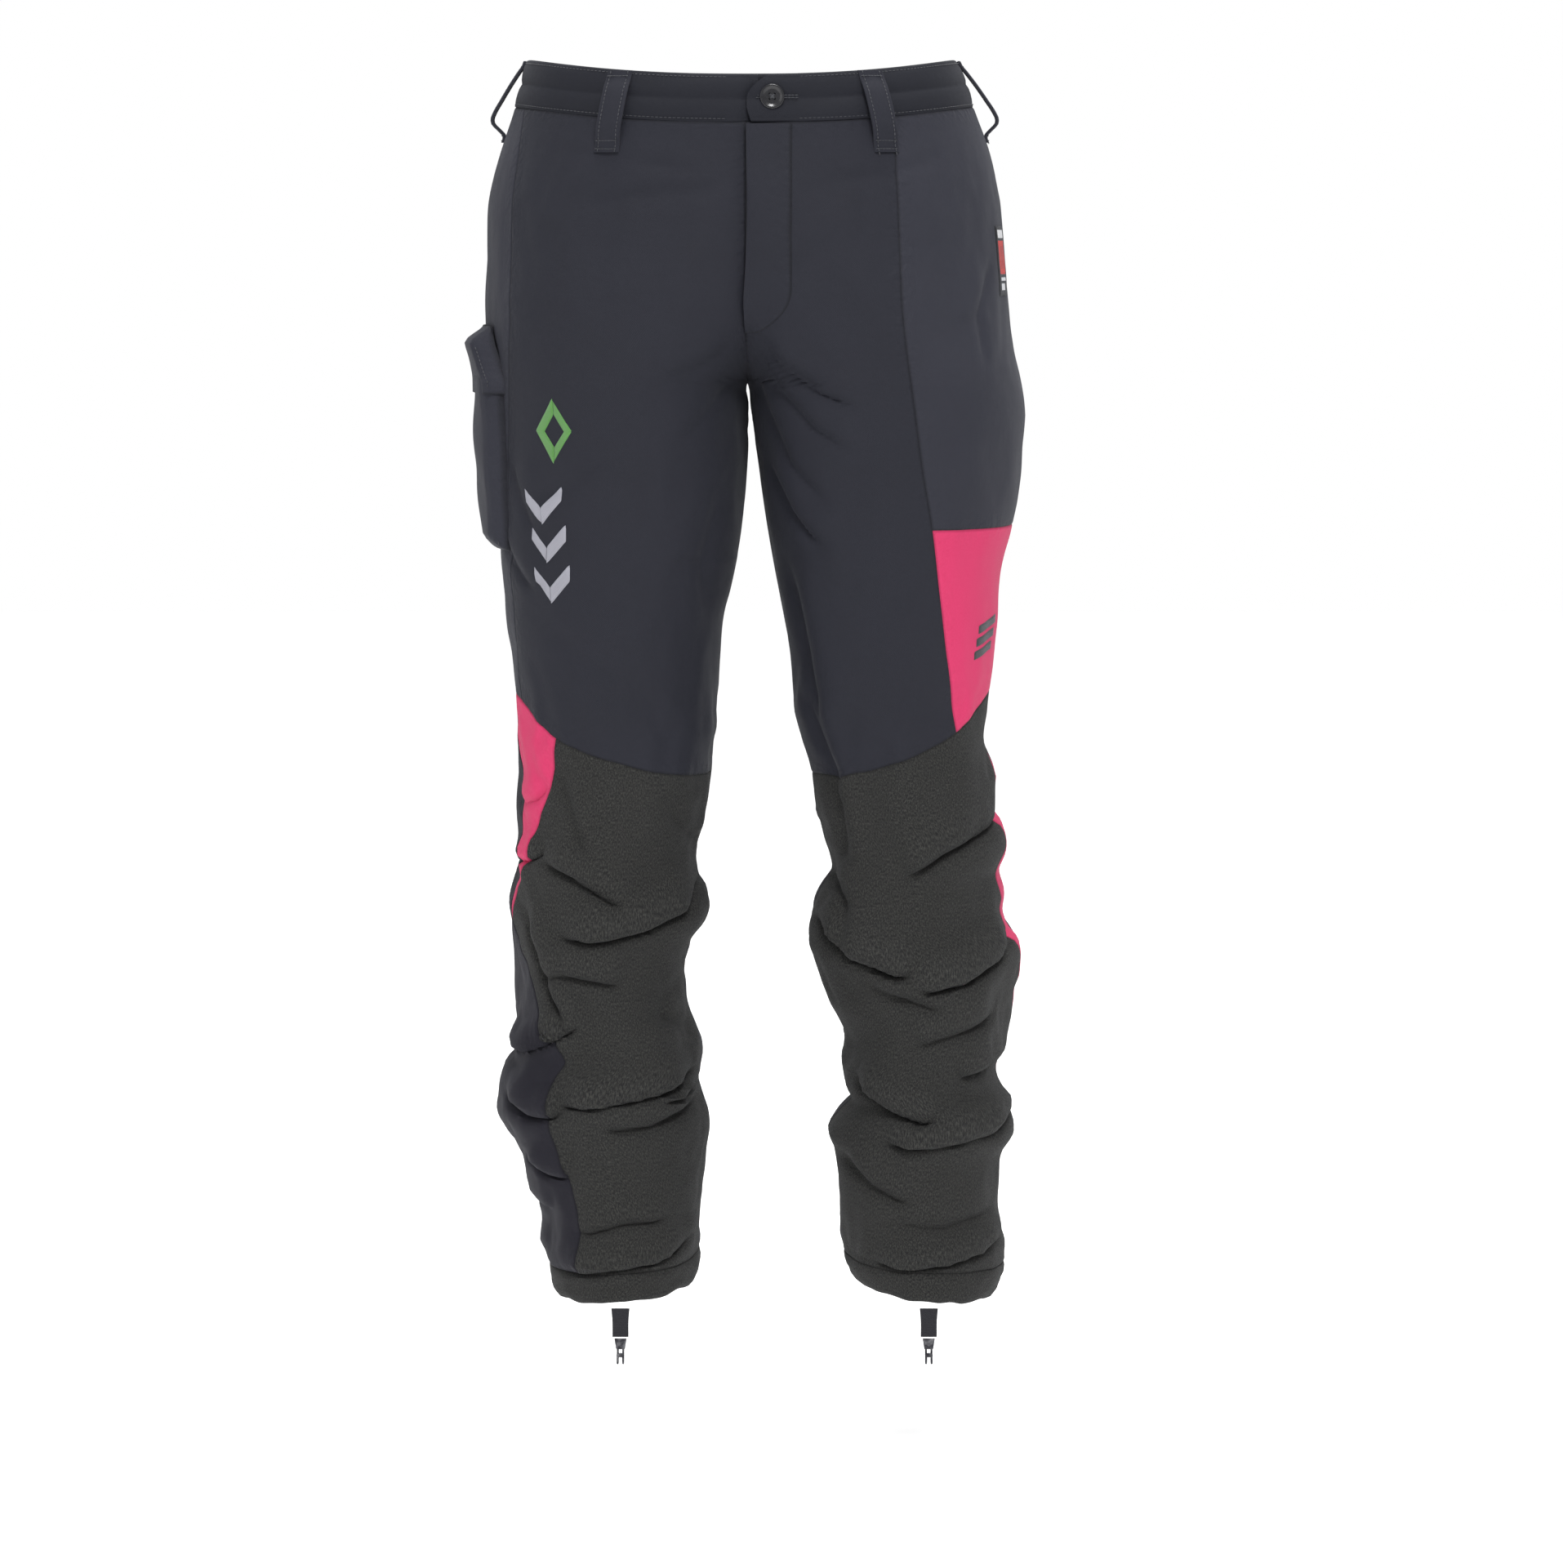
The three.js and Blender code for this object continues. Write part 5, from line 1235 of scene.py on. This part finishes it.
stitch_line("placket_cross_seam", seam_path(LEFT, places, 98 + 30 * places, lift=1.8))
bar_path = seam_path(LEFT, inset_edge(np.linspace(163, 172, 6)), np.linspace(163, 172, 6), lift=2.0)
stitch_line("placket_bar", bar_path, rust_thread, pitch=1.6, size=1.7)
depths = np.arange(54, CROTCH - 18, 3.0)
fly_line = beside(RIGHT, always(0.0), 2.6)
stitch_line("fly_edge_stitches", seam_path(RIGHT, fly_line(depths), depths))

# ---------- zip ----------
# A coil zip behind the placket: two woven tapes, a shield of cloth behind them, the coil,
# and an enamelled slider, pull and bottom stop.
zip_cloth = cloth_material(
    "zip_tape_cloth", (0.03, 0.032, 0.042), (0.016, 0.017, 0.024), 2.2, 0.6, 0.8, 0.1,
    speck=0.05, speck_size=0.6, speck_light=(0.05, 0.05, 0.06),
)


TAPE_SLICES = 60


def tape_piece(node, material, ribs):
    """A flat woven tape over a CAD strip, wavy along its edges and ribbed along its length."""
    low, high = (np.array(corner) * 1000 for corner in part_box(node))
    shape = bmesh.new()
    shape.from_mesh(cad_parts[node].data)
    bmesh.ops.remove_doubles(shape, verts=shape.verts[:], dist=1e-6)
    for k in range(1, TAPE_SLICES):
        height = (high[2] + (low[2] - high[2]) * k / TAPE_SLICES) / 1000
        slice_mesh(shape, (0, 0, height), (0, 0, 1))
    for k in range(1, ribs):
        across = (low[0] + (high[0] - low[0]) * k / ribs) / 1000
        slice_mesh(shape, (across, 0, 0), (1, 0, 0))
    for vertex in shape.verts:
        rib = math.sin((vertex.co.x * 1000 - low[0]) / (high[0] - low[0]) * ribs * math.pi)
        vertex.co.y += 0.00012 * rib + 0.0002 * math.sin(vertex.co.z * 260)
    mesh = bpy.data.meshes.new(node + "_woven")
    shape.to_mesh(mesh)
    shape.free()
    layer = mesh.uv_layers.new(name="cloth")
    for corner in mesh.loops:
        at = mesh.vertices[corner.vertex_index].co
        layer.data[corner.index].uv = (at.x * 1000, at.z * 1000)
    attribute = mesh.attributes.new("seam", "FLOAT", "POINT")
    attribute.data.foreach_set("value", np.full(len(mesh.vertices), NO_SEAM, np.float32))
    piece = new_object(node + "_woven", mesh)
    finish_piece(piece, material, node, "trousers", 40)
    return piece


for node, ribs in (("zip_tape_right", 6), ("zip_tape_left", 6), ("fly_shield", 8)):
    tape_piece(node, zip_cloth, ribs)
zip_low, zip_high = (Vector(corner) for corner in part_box("zip_chain"))
coil = primitive("torus", "zip_coil", major_segments=14, minor_segments=6, major_radius=0.0023,
                 minor_radius=0.00042, rotation=(0, 0, 0))
for vertex in coil.data.vertices:
    vertex.co = (vertex.co.x, vertex.co.y * 0.32, vertex.co.z + vertex.co.x * 0.12)
COIL_TURNS = 110
coil_step = (zip_high.z - zip_low.z - 0.001) / COIL_TURNS
lean = (zip_high.y - zip_low.y - 0.0018) / (zip_high.z - zip_low.z)
coil_head = Vector(((zip_low.x + zip_high.x) / 2, zip_low.y + 0.0009, zip_high.z - 0.0006))
apply_modifier(coil, "ARRAY", count=COIL_TURNS, use_relative_offset=False, use_constant_offset=True,
               constant_offset_displace=(0, abs(lean) * coil_step, -coil_step))
for vertex in coil.data.vertices:
    vertex.co += coil_head
zip_plastic = thread_material("zip_plastic", (0.03, 0.03, 0.035), sheen=0.0)
finish_piece(coil, zip_plastic, "zip_chain", "trousers", 60)

dark_metal = patchy_material(
    "dark_metal", {"Metallic": 1.0}, {"Scale": 260.0, "Detail": 5.0}, (0.035, 0.035, 0.04), (0.16, 0.16, 0.17),
    (0.45, 0.72), (0.24, 0.5),
)
for node in ("zip_slider", "zip_pull", "zip_bottom_stop"):
    cad_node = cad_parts[node]
    cad_node.data.materials.clear()
    cad_node.data.materials.append(dark_metal)

# ---------- hem cuffs ----------
# The hems are turned up into a thick soft cuff that wrinkles over the boot.
CUFF_PROFILE = [
    (-0.6, 0.0), (0.8, 0.03), (2.2, 0.14), (3.0, 0.32), (2.7, 0.5), (3.1, 0.68), (2.5, 0.84), (1.0, 0.96), (-1.0, 1.0),
    (-3.0, 0.98), (-4.4, 0.86), (-4.8, 0.5), (-4.4, 0.12), (-2.6, 0.02),
]
CUFF_COLUMNS = 150
for side in SIDES:
    rings, maps = [], []
    round_hem = float(around_at(side, HEM))
    for u in np.linspace(0, 1, CUFF_COLUMNS, endpoint=False):
        ring, ring_map = [], []
        seed = Vector((math.cos(2 * math.pi * u) * 2.2, math.sin(2 * math.pi * u) * 2.2, 3.7 * SIGN[side]))
        swell = 1.0 + 0.5 * noise.noise(seed)
        shift = 2.2 * noise.noise(seed * 1.7 + Vector((4, 1, 2)))
        for off, share in CUFF_PROFILE:
            depth = CUFF_TOP + 0.4 + (HEM - CUFF_TOP - 0.4) * share
            crease = 0.9 * noise.noise(seed * 2.4 + Vector((0, 0, share * 3)))
            out = off * (swell if off > 0 else 1) + (crease if off > 0 else 0)
            point = on_garment(side, np.array(u), np.array(depth)) * 1000
            outward = worn_surface(side, np.array(u), np.array(depth))[1]
            point = point + outward * out
            point[2] += shift * (share if off > -2 else 0.5)
            ring.append(point / 1000)
            ring_map.append(((u - 0.5) * round_hem, -depth + (30 if off < -2 else 0)))
        rings.append(ring)
        maps.append(ring_map)
    cuff = loft_piece(f"hem_cuff_{side}_cloth", rings, maps, closed=True)
    # the cuff's top edge and the underside of its fold at the hem are marked as sewn so that its cloth is painted
    # darker there: painted shade in the crease where the cuff meets the shin and under the fold
    cuff.data.attributes["seam"].data.foreach_set(
        "value", np.tile([1.0 if share < 0.02 or share > 0.99 else NO_SEAM for _, share in CUFF_PROFILE],
                         CUFF_COLUMNS).astype(np.float32))
    finish_piece(cuff, shin_cloth, f"hem_cuff_{side}", "trousers", 60)
    places = np.linspace(0.003, 0.997, 190)
    line = on_garment(side, places, 0 * places + CUFF_TOP - 2.6)
    line = line + out_of_garment(side, places, 0 * places + CUFF_TOP - 2.6) * 0.00025
    stitch_line(f"cuff_stitches_{side}", line)

# ---------- boot straps and lace hooks ----------
# A short ribbed elastic hangs from the front of each hem and holds an enamelled wire hook on
# a pressed plate, which clips to the boot lace.
elastic = cloth_material(
    "elastic_cloth", (0.02, 0.02, 0.024), (0.01, 0.01, 0.012), 1.2, 0.9, 0.8, 0.08,
    speck=0.05, speck_size=0.6, speck_light=(0.04, 0.04, 0.045),
)
for side in SIDES:
    low, high = (np.array(corner) * 1000 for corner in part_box(f"boot_strap_{side}"))
    middle = (low + high) / 2
    rings, maps = [], []
    half_wide, half_thick = (high[0] - low[0]) / 2, (high[1] - low[1]) / 2
    for k, share in enumerate(np.linspace(0, 1, 48)):
        z = high[2] + (low[2] - high[2]) * share
        narrow = 1 - 0.1 * math.sin(math.pi * share) - 0.12 * share**3
        ring, ring_map = [], []
        for angle in 2 * math.pi * np.arange(24) / 24:
            c, s = math.cos(angle), math.sin(angle)
            x = half_wide * narrow * math.copysign(abs(c) ** 0.35, c)
            rib = 1 + 0.12 * math.sin(k * 1.6) * abs(s)
            y = half_thick * rib * math.copysign(abs(s) ** 0.6, s)
            ring.append((np.array((middle[0] + x, middle[1] + y, z))) / 1000)
            ring_map.append((x, z + (20 if s > 0 else 0)))
        rings.append(ring)
        maps.append(ring_map)
    strap = loft_piece(f"boot_strap_{side}_elastic", rings, maps)
    finish_piece(strap, elastic, f"boot_strap_{side}", f"boot_strap_{side}", 60)

    low, high = (Vector(corner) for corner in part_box(f"lace_hook_{side}"))
    centre_x = (low.x + high.x) / 2
    plate = primitive("cube", f"lace_hook_{side}_plate", size=1, location=(0, 0, 0))
    plate.scale = (0.0095, 0.0017, 0.0085)
    bpy.ops.object.transform_apply(location=False, rotation=False, scale=True)
    for vertex in plate.data.vertices:
        if vertex.co.z < 0:
            vertex.co.x *= 0.72
    apply_modifier(plate, "BEVEL", width=0.0007, segments=3)
    for vertex in plate.data.vertices:
        vertex.co += Vector((centre_x, high.y - 0.0011, high.z - 0.0045))
    wire_points = [
        (0, -0.0010, -0.0060), (0, -0.0010, -0.0110), (0, -0.0012, -0.0160), (0, -0.0026, -0.0188),
        (0, -0.0050, -0.0192), (0, -0.0068, -0.0176), (0, -0.0072, -0.0150), (0, -0.0070, -0.0122),
    ]
    parts = [plate]
    for offset in (-0.0021, 0.0021):
        curve = bpy.data.curves.new("hook_wire", "CURVE")
        curve.dimensions = "3D"
        curve.bevel_depth = 0.00085
        curve.bevel_resolution = 3
        curve.use_fill_caps = True
        spline = curve.splines.new("NURBS")
        spline.points.add(len(wire_points) - 1)
        for point, (x, y, z) in zip(spline.points, wire_points):
            point.co = (centre_x + x + offset, high.y + y, high.z + z, 1)
        spline.use_endpoint_u = True
        spline.order_u = 4
        select_only(new_object("hook_wire", curve))
        bpy.ops.object.convert(target="MESH")
        parts.append(bpy.context.object)
    tip = primitive("uv_sphere", "hook_tip", segments=14, ring_count=8, radius=1)
    for vertex in tip.data.vertices:
        vertex.co = (centre_x + vertex.co.x * 0.0031, high.y - 0.0070 + vertex.co.y * 0.0010,
                     high.z - 0.0120 + vertex.co.z * 0.0018)
    hook = join([*parts, tip])
    finish_piece(hook, dark_metal, f"lace_hook_{side}", f"lace_hook_{side}", 40)

# ---------- pockets and flaps ----------
# Flat pockets that stand off the leg at their mouth and bag out towards the foot, each under
# a flap that hangs from its own seam. One is on the right thigh, one on the right seat.
POCKET_LEVEL = 150


def upright(side, place, depth):
    """Places on the back that keep the distance from the middle that place has at the
    pocket's level. A place on the side stays the same at each depth."""
    if place < 0.65:
        return place + 0 * depth
    across = abs(float(worn_surface(side, np.array(place), np.array(float(POCKET_LEVEL)))[0][0]))
    places = np.linspace(0.5, 1, 301)
    levels = np.linspace(depth.min(), depth.max(), 60)
    found = [np.interp(-across, -np.abs(worn_surface(side, places, 0 * places + d)[0][:, 0]), places) for d in levels]
    return np.interp(depth, levels, found)


def pocket_piece(node, side, start, end, top, drop, deep):
    """start and end are places round the body; top, drop and deep are millimetres."""
    s, t = np.meshgrid(spread(110, 4.0), spread(140, 4.0))
    depth = top + drop * t
    start_at, end_at = upright(side, start, depth), upright(side, end, depth)
    u = start_at + (end_at - start_at) * s
    around = around_at(side, depth)
    edge = np.minimum(np.minimum((u - start_at) * around, (end_at - u) * around), top + drop - depth)
    stand = deep * np.clip(edge / 10, 0, 1) ** 0.55 * (0.62 + 0.38 * np.sin(math.pi * np.clip(0.15 + t * 0.7, 0, 1)))
    stand *= 1 + 0.10 * np.sin(s * 9 + t * 4) * np.sin(t * 11)
    points = body_point(side, u, depth, 0.8 + stand)
    piece = grid_piece(node + "_cloth", side, points, map_on_body(side, u, depth), np.maximum(edge, 0))
    wall(piece, CLOTH)
    finish_piece(piece, grazing_sheen_cloth, node, "trousers")
    path_depths = np.arange(top + 4, top + drop - 3, 3.0)
    height = 0.8 + deep * (4.2 / 10) ** 0.55 * 0.95
    for name, place, inset in (("a", start, 4.2), ("b", end, -4.2)):
        place = upright(side, place, path_depths) + inset / around.mean()
        path = body_point(side, place, path_depths, height + 0 * path_depths)
        stitch_line(f"{node}_stitches_{name}", path)


FLAP_FALL = 3.4  # how far a flap sinks back below the bend at its seam
FLAP_HEM = 5.5  # from a flap's edges to its stitches


def flap_piece(node, body, side, start, end, top, drop, deep):
    s, t = np.meshgrid(spread(115, 3.5), np.concatenate([[0, 0.02, 0.05], np.linspace(0.09, 0.97, 16), [0.985, 1.0]]))
    depth = top + drop * t
    start_at, end_at = upright(side, start, depth), upright(side, end, depth)
    u = start_at + (end_at - start_at) * s
    away = eased((depth - top) / 14)
    around = around_at(side, depth)
    edge = np.minimum((u - start_at) * around, (end_at - u) * around)
    curl = (deep + 1.2) * np.clip(1 - edge / 9, 0, 1) ** 1.2
    fall = FLAP_FALL * np.clip((depth - top - 14) / 24, 0, 1)
    off = 1.4 + (deep + 0.9) * away - fall + 1.1 * np.sin(s * math.pi) * away - curl * away
    off += 0.5 * np.sin(s * 8 + t * 3) * away
    points = body_point(side, u, depth, off)
    seam = np.minimum(np.maximum(edge, 0), np.minimum(depth - top, top + drop - depth))
    piece = grid_piece(node + "_cloth", side, points, map_on_body(side, u, depth), seam)
    wall(piece, FLAP_CLOTH)
    finish_piece(piece, grazing_sheen_cloth, node, body)
    inset = FLAP_HEM / around.mean()
    foot_depth = np.array([top + drop - FLAP_HEM])
    foot_start, foot_end = (float(upright(side, place, foot_depth)[0]) for place in (start, end))
    across = np.linspace(foot_start + inset, foot_end - inset, 40)
    share = (across - foot_start) / (foot_end - foot_start)
    height = 1.4 + deep + 0.9 - FLAP_FALL - 0.55
    low_edge = body_point(side, across, 0 * across + foot_depth,
                          height + 1.1 * np.sin(share * math.pi) + 0.5 * np.sin(share * 8 + 2.7))
    stitch_line(f"{node}_foot_stitches", low_edge, body=body)
    for name, place, share, aside in (("a", start, 0.05, inset), ("b", end, 0.95, -inset)):
        downs = np.linspace(top + 15, top + drop - 5, 16)
        path_off = FLAP_FALL * (1 - np.clip((downs - top - 14) / 24, 0, 1)) + height + 1.1 * math.sin(share * math.pi)
        path_off += 0.5 * np.sin(share * 8 + (downs - top) / drop * 3) - 0.2
        side_edge = body_point(side, upright(side, place, downs) + aside, downs, path_off)
        stitch_line(f"{node}_side_stitches_{name}", side_edge, body=body)


pocket_piece("cargo_pocket", RIGHT, 0.415, 0.595, 222, 145, 14)
flap_piece("cargo_flap", "cargo_flap", RIGHT, 0.41, 0.6, 200, 50, 14)
pocket_piece("back_pocket", RIGHT, 0.69, 0.86, 102, 120, 15)
flap_piece("back_pocket_flap", "back_pocket_flap", RIGHT, 0.685, 0.865, 84, 50, 15)

# ---------- pads, linings and pocket bags ----------
# Inside each leg lies a stack of loose-knit protective plies, quilted together, then a thin
# mesh lining from the waistband to the hem. The hand pockets' bags hang beside the pads.
inside = {}
for side in SIDES:
    smooth_points, smooth_out = worn_surface(side, *np.meshgrid(COLUMNS, ROWS))
    moved = hang[side] - smooth_points
    swell = (moved * smooth_out).sum(-1)
    drop = moved[..., 2]
    # under each fold the plies keep to the deepest point near by
    for axis, reach in ((0, 4), (1, 3)):
        swell = np.minimum.reduce([np.roll(swell, k, axis=axis) for k in range(-reach, reach + 1)])
    for axis in (0, 1):
        swell, drop = (sum(np.roll(part, k, axis=axis) for k in range(-3, 4)) / 7 for part in (swell, drop))
    inside[side] = smooth_points + smooth_out * np.minimum(swell, 3)[..., None]
    inside[side][..., 2] += drop
pad_cloth = cloth_material(
    "pad_cloth", (0.62, 0.55, 0.3), (0.4, 0.34, 0.17), 0.5, 0.9, 0.9, 0.1,
    speck=0.3, speck_size=2.4, speck_light=(0.75, 0.7, 0.48),
)
lining_mesh = cloth_material(
    "lining_mesh", (0.07, 0.073, 0.08), (0.02, 0.021, 0.024), 0.45, 1.0, 0.8, 0.1,
    speck=0.05, speck_size=1.0, speck_light=(0.1, 0.1, 0.11),
)
PAD_FRONT = smooth_line([(40, 0.16), (180, 0.16), (205, 0.14), (240, 0.1), (262, 0.05), (945, 0.04)])
PAD_SIDE = smooth_line([(40, 0.33), (240, 0.34), (500, 0.44), (945, 0.46)])
UNDER_CLOTH = 4.4  # from the hung surface to the outer ply of a pad
outside = dict(hang)
for side in SIDES:
    hang[side] = inside[side]
    s, t = np.meshgrid(np.linspace(0, 1, 34), np.linspace(0, 1, 130))
    depth = 53 + (CUFF_TOP - 54) * t
    u = PAD_FRONT(depth) + (PAD_SIDE(depth) - PAD_FRONT(depth)) * s
    outward = worn_surface(side, u, depth)[1]
    edge = np.minimum(np.minimum(s, 1 - s) * 200, np.minimum(t, 1 - t) * 880)
    thick = 1.6 + 4.0 * np.clip(edge / 16, 0, 1) ** 0.6
    quilt = 1 - 0.35 * np.exp(-((((depth + 60 * s) % 70) - 35) / 3.0) ** 2)
    face = on_garment(side, u, depth) * 1000
    outer_face = (face - outward * UNDER_CLOTH) / 1000
    inner_face = (face - outward * (UNDER_CLOTH + thick * quilt)[..., None]) / 1000
    count = s.size
    faces = grid_quads(*s.shape, side == LEFT)
    faces += [tuple(q + count for q in reversed(f)) for f in faces]
    ids = np.arange(count).reshape(s.shape)
    border = list(ids[:, 0]) + list(ids[-1, 1:]) + list(ids[::-1, -1][1:]) + list(ids[0, ::-1][1:-1])
    for a, b in zip(border, border[1:] + border[:1]):
        faces.append((int(a), int(b), int(b) + count, int(a) + count))
    cloth_map = map_on_body(side, u, depth).reshape(-1, 2)
    pad = new_mesh(f"pad_{side}_quilted", np.concatenate([outer_face.reshape(-1, 3), inner_face.reshape(-1, 3)]),
                   faces, np.concatenate([cloth_map, cloth_map]), np.full(2 * count, NO_SEAM))
    face_outward(pad)
    finish_piece(pad, pad_cloth, f"pad_{side}", "trousers", 60)

    s, t = np.meshgrid(np.linspace(0, 1, 56), np.linspace(0, 1, 130))
    depth = 51 + (HEM - 6 - 51) * t
    u = PAD_FRONT(depth) * 0.2 + (0.99 - PAD_FRONT(depth) * 0.2) * s
    outward = worn_surface(side, u, depth)[1]
    inward = 5.5 + 8.0 * np.clip(np.minimum(depth - 51, HEM - 6 - depth) / 60, 0, 1)
    points = (on_garment(side, u, depth) * 1000 - outward * inward[..., None]) / 1000
    lining = grid_piece(f"lining_{side}_mesh", side, points, map_on_body(side, u, depth))
    wall(lining, LINING)
    finish_piece(lining, lining_mesh, f"lining_{side}", "trousers")

    s, t = np.meshgrid(np.linspace(0.362, 0.498, 24), np.linspace(52, 224, 40))
    bag_off = -4.6 - 1.2 * np.sin((s - 0.362) / 0.136 * math.pi) * np.clip((t - 52) / 60, 0, 1)
    inner_sheet(f"hand_pocket_bag_{side}_cloth", side, s, t, bag_off, lining_mesh, f"hand_pocket_bag_{side}",
                thickness=1.3)
hang.update(outside)

# ---------- label ----------
# A woven label stitched to the left side: plain blocks of light grey and red on black.
def woven_patch(name, blocks, ground):
    """Blocks of colour by their place on the piece's map, each (left, right, foot, head)."""
    material = cloth_material(name, ground, tuple(c * 0.6 for c in ground), 2.6, 0.5, 0.6, 0.1,
                              speck=0.04, speck_size=0.5, speck_light=(0.1, 0.1, 0.1))
    tree = material.node_tree
    split = add_node(tree, "SeparateXYZ", {0: add_node(tree, "UVMap", uv_map="cloth").outputs[0]})
    shader = tree.nodes["Principled BSDF"]
    colour = shader.inputs["Base Color"].links[0].from_socket
    for (left, right, foot, head), block_colour in blocks:
        across, upward = (
            calculate(tree, "COMPARE", split.outputs[k], (low + high) / 2, (high - low) / 2)
            for k, low, high in ((0, left, right), (1, foot, head))
        )
        colour = mix_colours(tree, calculate(tree, "MULTIPLY", across, upward), colour, (*block_colour, 1))
    feed(shader, {"Base Color": colour})
    return material


LABEL_PLACES = (0.397, 0.442)
label_left, label_right = ((place - 0.5) * float(around_at(LEFT, 150)) for place in LABEL_PLACES)
label_cloth = woven_patch("label_cloth", (
    ((label_left + 3, label_right - 3, -134, -128), (0.55, 0.55, 0.56)),
    ((label_left + 2.4, label_right - 2.4, -161, -136), (0.42, 0.018, 0.012)),
    ((label_left + 6, label_right - 6, -157, -140), (0.3, 0.012, 0.01)),
    ((label_left + 4, label_right - 4, -166, -163.5), (0.5, 0.5, 0.52)),
    ((label_left + 4, label_right - 9, -173, -168), (0.5, 0.5, 0.52)),
), (0.012, 0.012, 0.015))
panel_piece("side_label", LEFT, *map(always, LABEL_PLACES), always(125), always(177), label_cloth, "label_cloth",
            lift=1.5, cell=1.6, thickness=0.7)

# ---------- embroidery ----------
# Raised satin stitch: on the right thigh three silver chevrons under a green lozenge, and on
# the pink panel three short black bars.
satin_threads = {}
for name, colour in (("silver_embroidery", (0.36, 0.36, 0.41)), ("green_embroidery", (0.1, 0.29, 0.06)),
                     ("black_embroidery", (0.012, 0.012, 0.014))):
    darker, lighter = tuple(c * 0.45 for c in colour), tuple(c * 1.4 for c in colour)
    satin_threads[name] = cloth_material(name, colour, darker, 1.0, 1.0, 0.45, 0.3, speck=0.05, speck_size=0.6,
                                         speck_light=lighter)


SATIN_COLUMNS, SATIN_ROWS = 26, 12


def satin_bar(name, side, corners, material, lift=0.0):
    """A raised bar with four corners, each (place round the body, depth)."""
    corner = np.array(corners, float)
    s, t = np.meshgrid(np.linspace(0, 1, SATIN_COLUMNS), np.linspace(0, 1, SATIN_ROWS))
    spot = ((corner[0] * (1 - s)[..., None] + corner[1] * s[..., None]) * (1 - t)[..., None]
            + (corner[3] * (1 - s)[..., None] + corner[2] * s[..., None]) * t[..., None])
    edge = np.minimum(np.minimum(s, 1 - s) * SATIN_COLUMNS / 2, np.minimum(t, 1 - t) * SATIN_ROWS / 2)
    rise = lift + 0.3 + 0.75 * np.clip(edge, 0, 1) ** 0.6
    points = on_garment(side, spot[..., 0], spot[..., 1])
    points = points + out_of_garment(side, spot[..., 0], spot[..., 1]) * (rise / 1000)[..., None]
    cloth_map = np.stack([s * 40, t * 9], -1)
    piece = grid_piece(name, side, points, cloth_map)
    piece.data.materials.append(material)
    return piece


def join_pieces(name, parts, node):
    piece = join(parts)
    piece.name = name
    wall(piece, 0.6)
    bpy.ops.object.shade_smooth_by_angle(angle=math.radians(60))
    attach(piece, "trousers")
    if node:
        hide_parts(node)


silver, green = satin_threads["silver_embroidery"], satin_threads["green_embroidery"]
chevrons = []
for k in range(3):
    head = 316 + k * 30
    lean = 0.006 * k
    for half, (outer_u, inner_u) in enumerate(((0.368 - lean, 0.342 - lean), (0.314 - lean, 0.342 - lean))):
        chevrons.append(satin_bar(f"chevron_{k}_{half}", RIGHT, (
            (outer_u, head), (inner_u, head + 17), (inner_u, head + 29), (outer_u, head + 12)), silver, 0.8))
join_pieces("thigh_emblem_silver", chevrons, "thigh_emblem")
lozenge = []
for k, corners in enumerate((
    ((0.322, 252), (0.348, 276), (0.341, 281), (0.322, 264)),
    ((0.322, 252), (0.296, 276), (0.303, 281), (0.322, 264)),
    ((0.348, 276), (0.322, 300), (0.322, 288), (0.339, 274)),
    ((0.296, 276), (0.322, 300), (0.322, 288), (0.305, 274)),
)):
    lozenge.append(satin_bar(f"lozenge_{k}", RIGHT, corners, green, 0.8))
join_pieces("thigh_emblem_green", lozenge, None)
bars = []
for k in range(3):
    head = 420 + k * 9.8
    bars.append(satin_bar(f"short_bar_{k}", LEFT, (
        (0.388 - 0.004 * k, head + 4), (0.448 - 0.006 * k, head - 3), (0.448 - 0.006 * k, head + 3),
        (0.388 - 0.004 * k, head + 10)), satin_threads["black_embroidery"], 0.2))
join_pieces("panel_emblem_bars", bars, "panel_emblem")
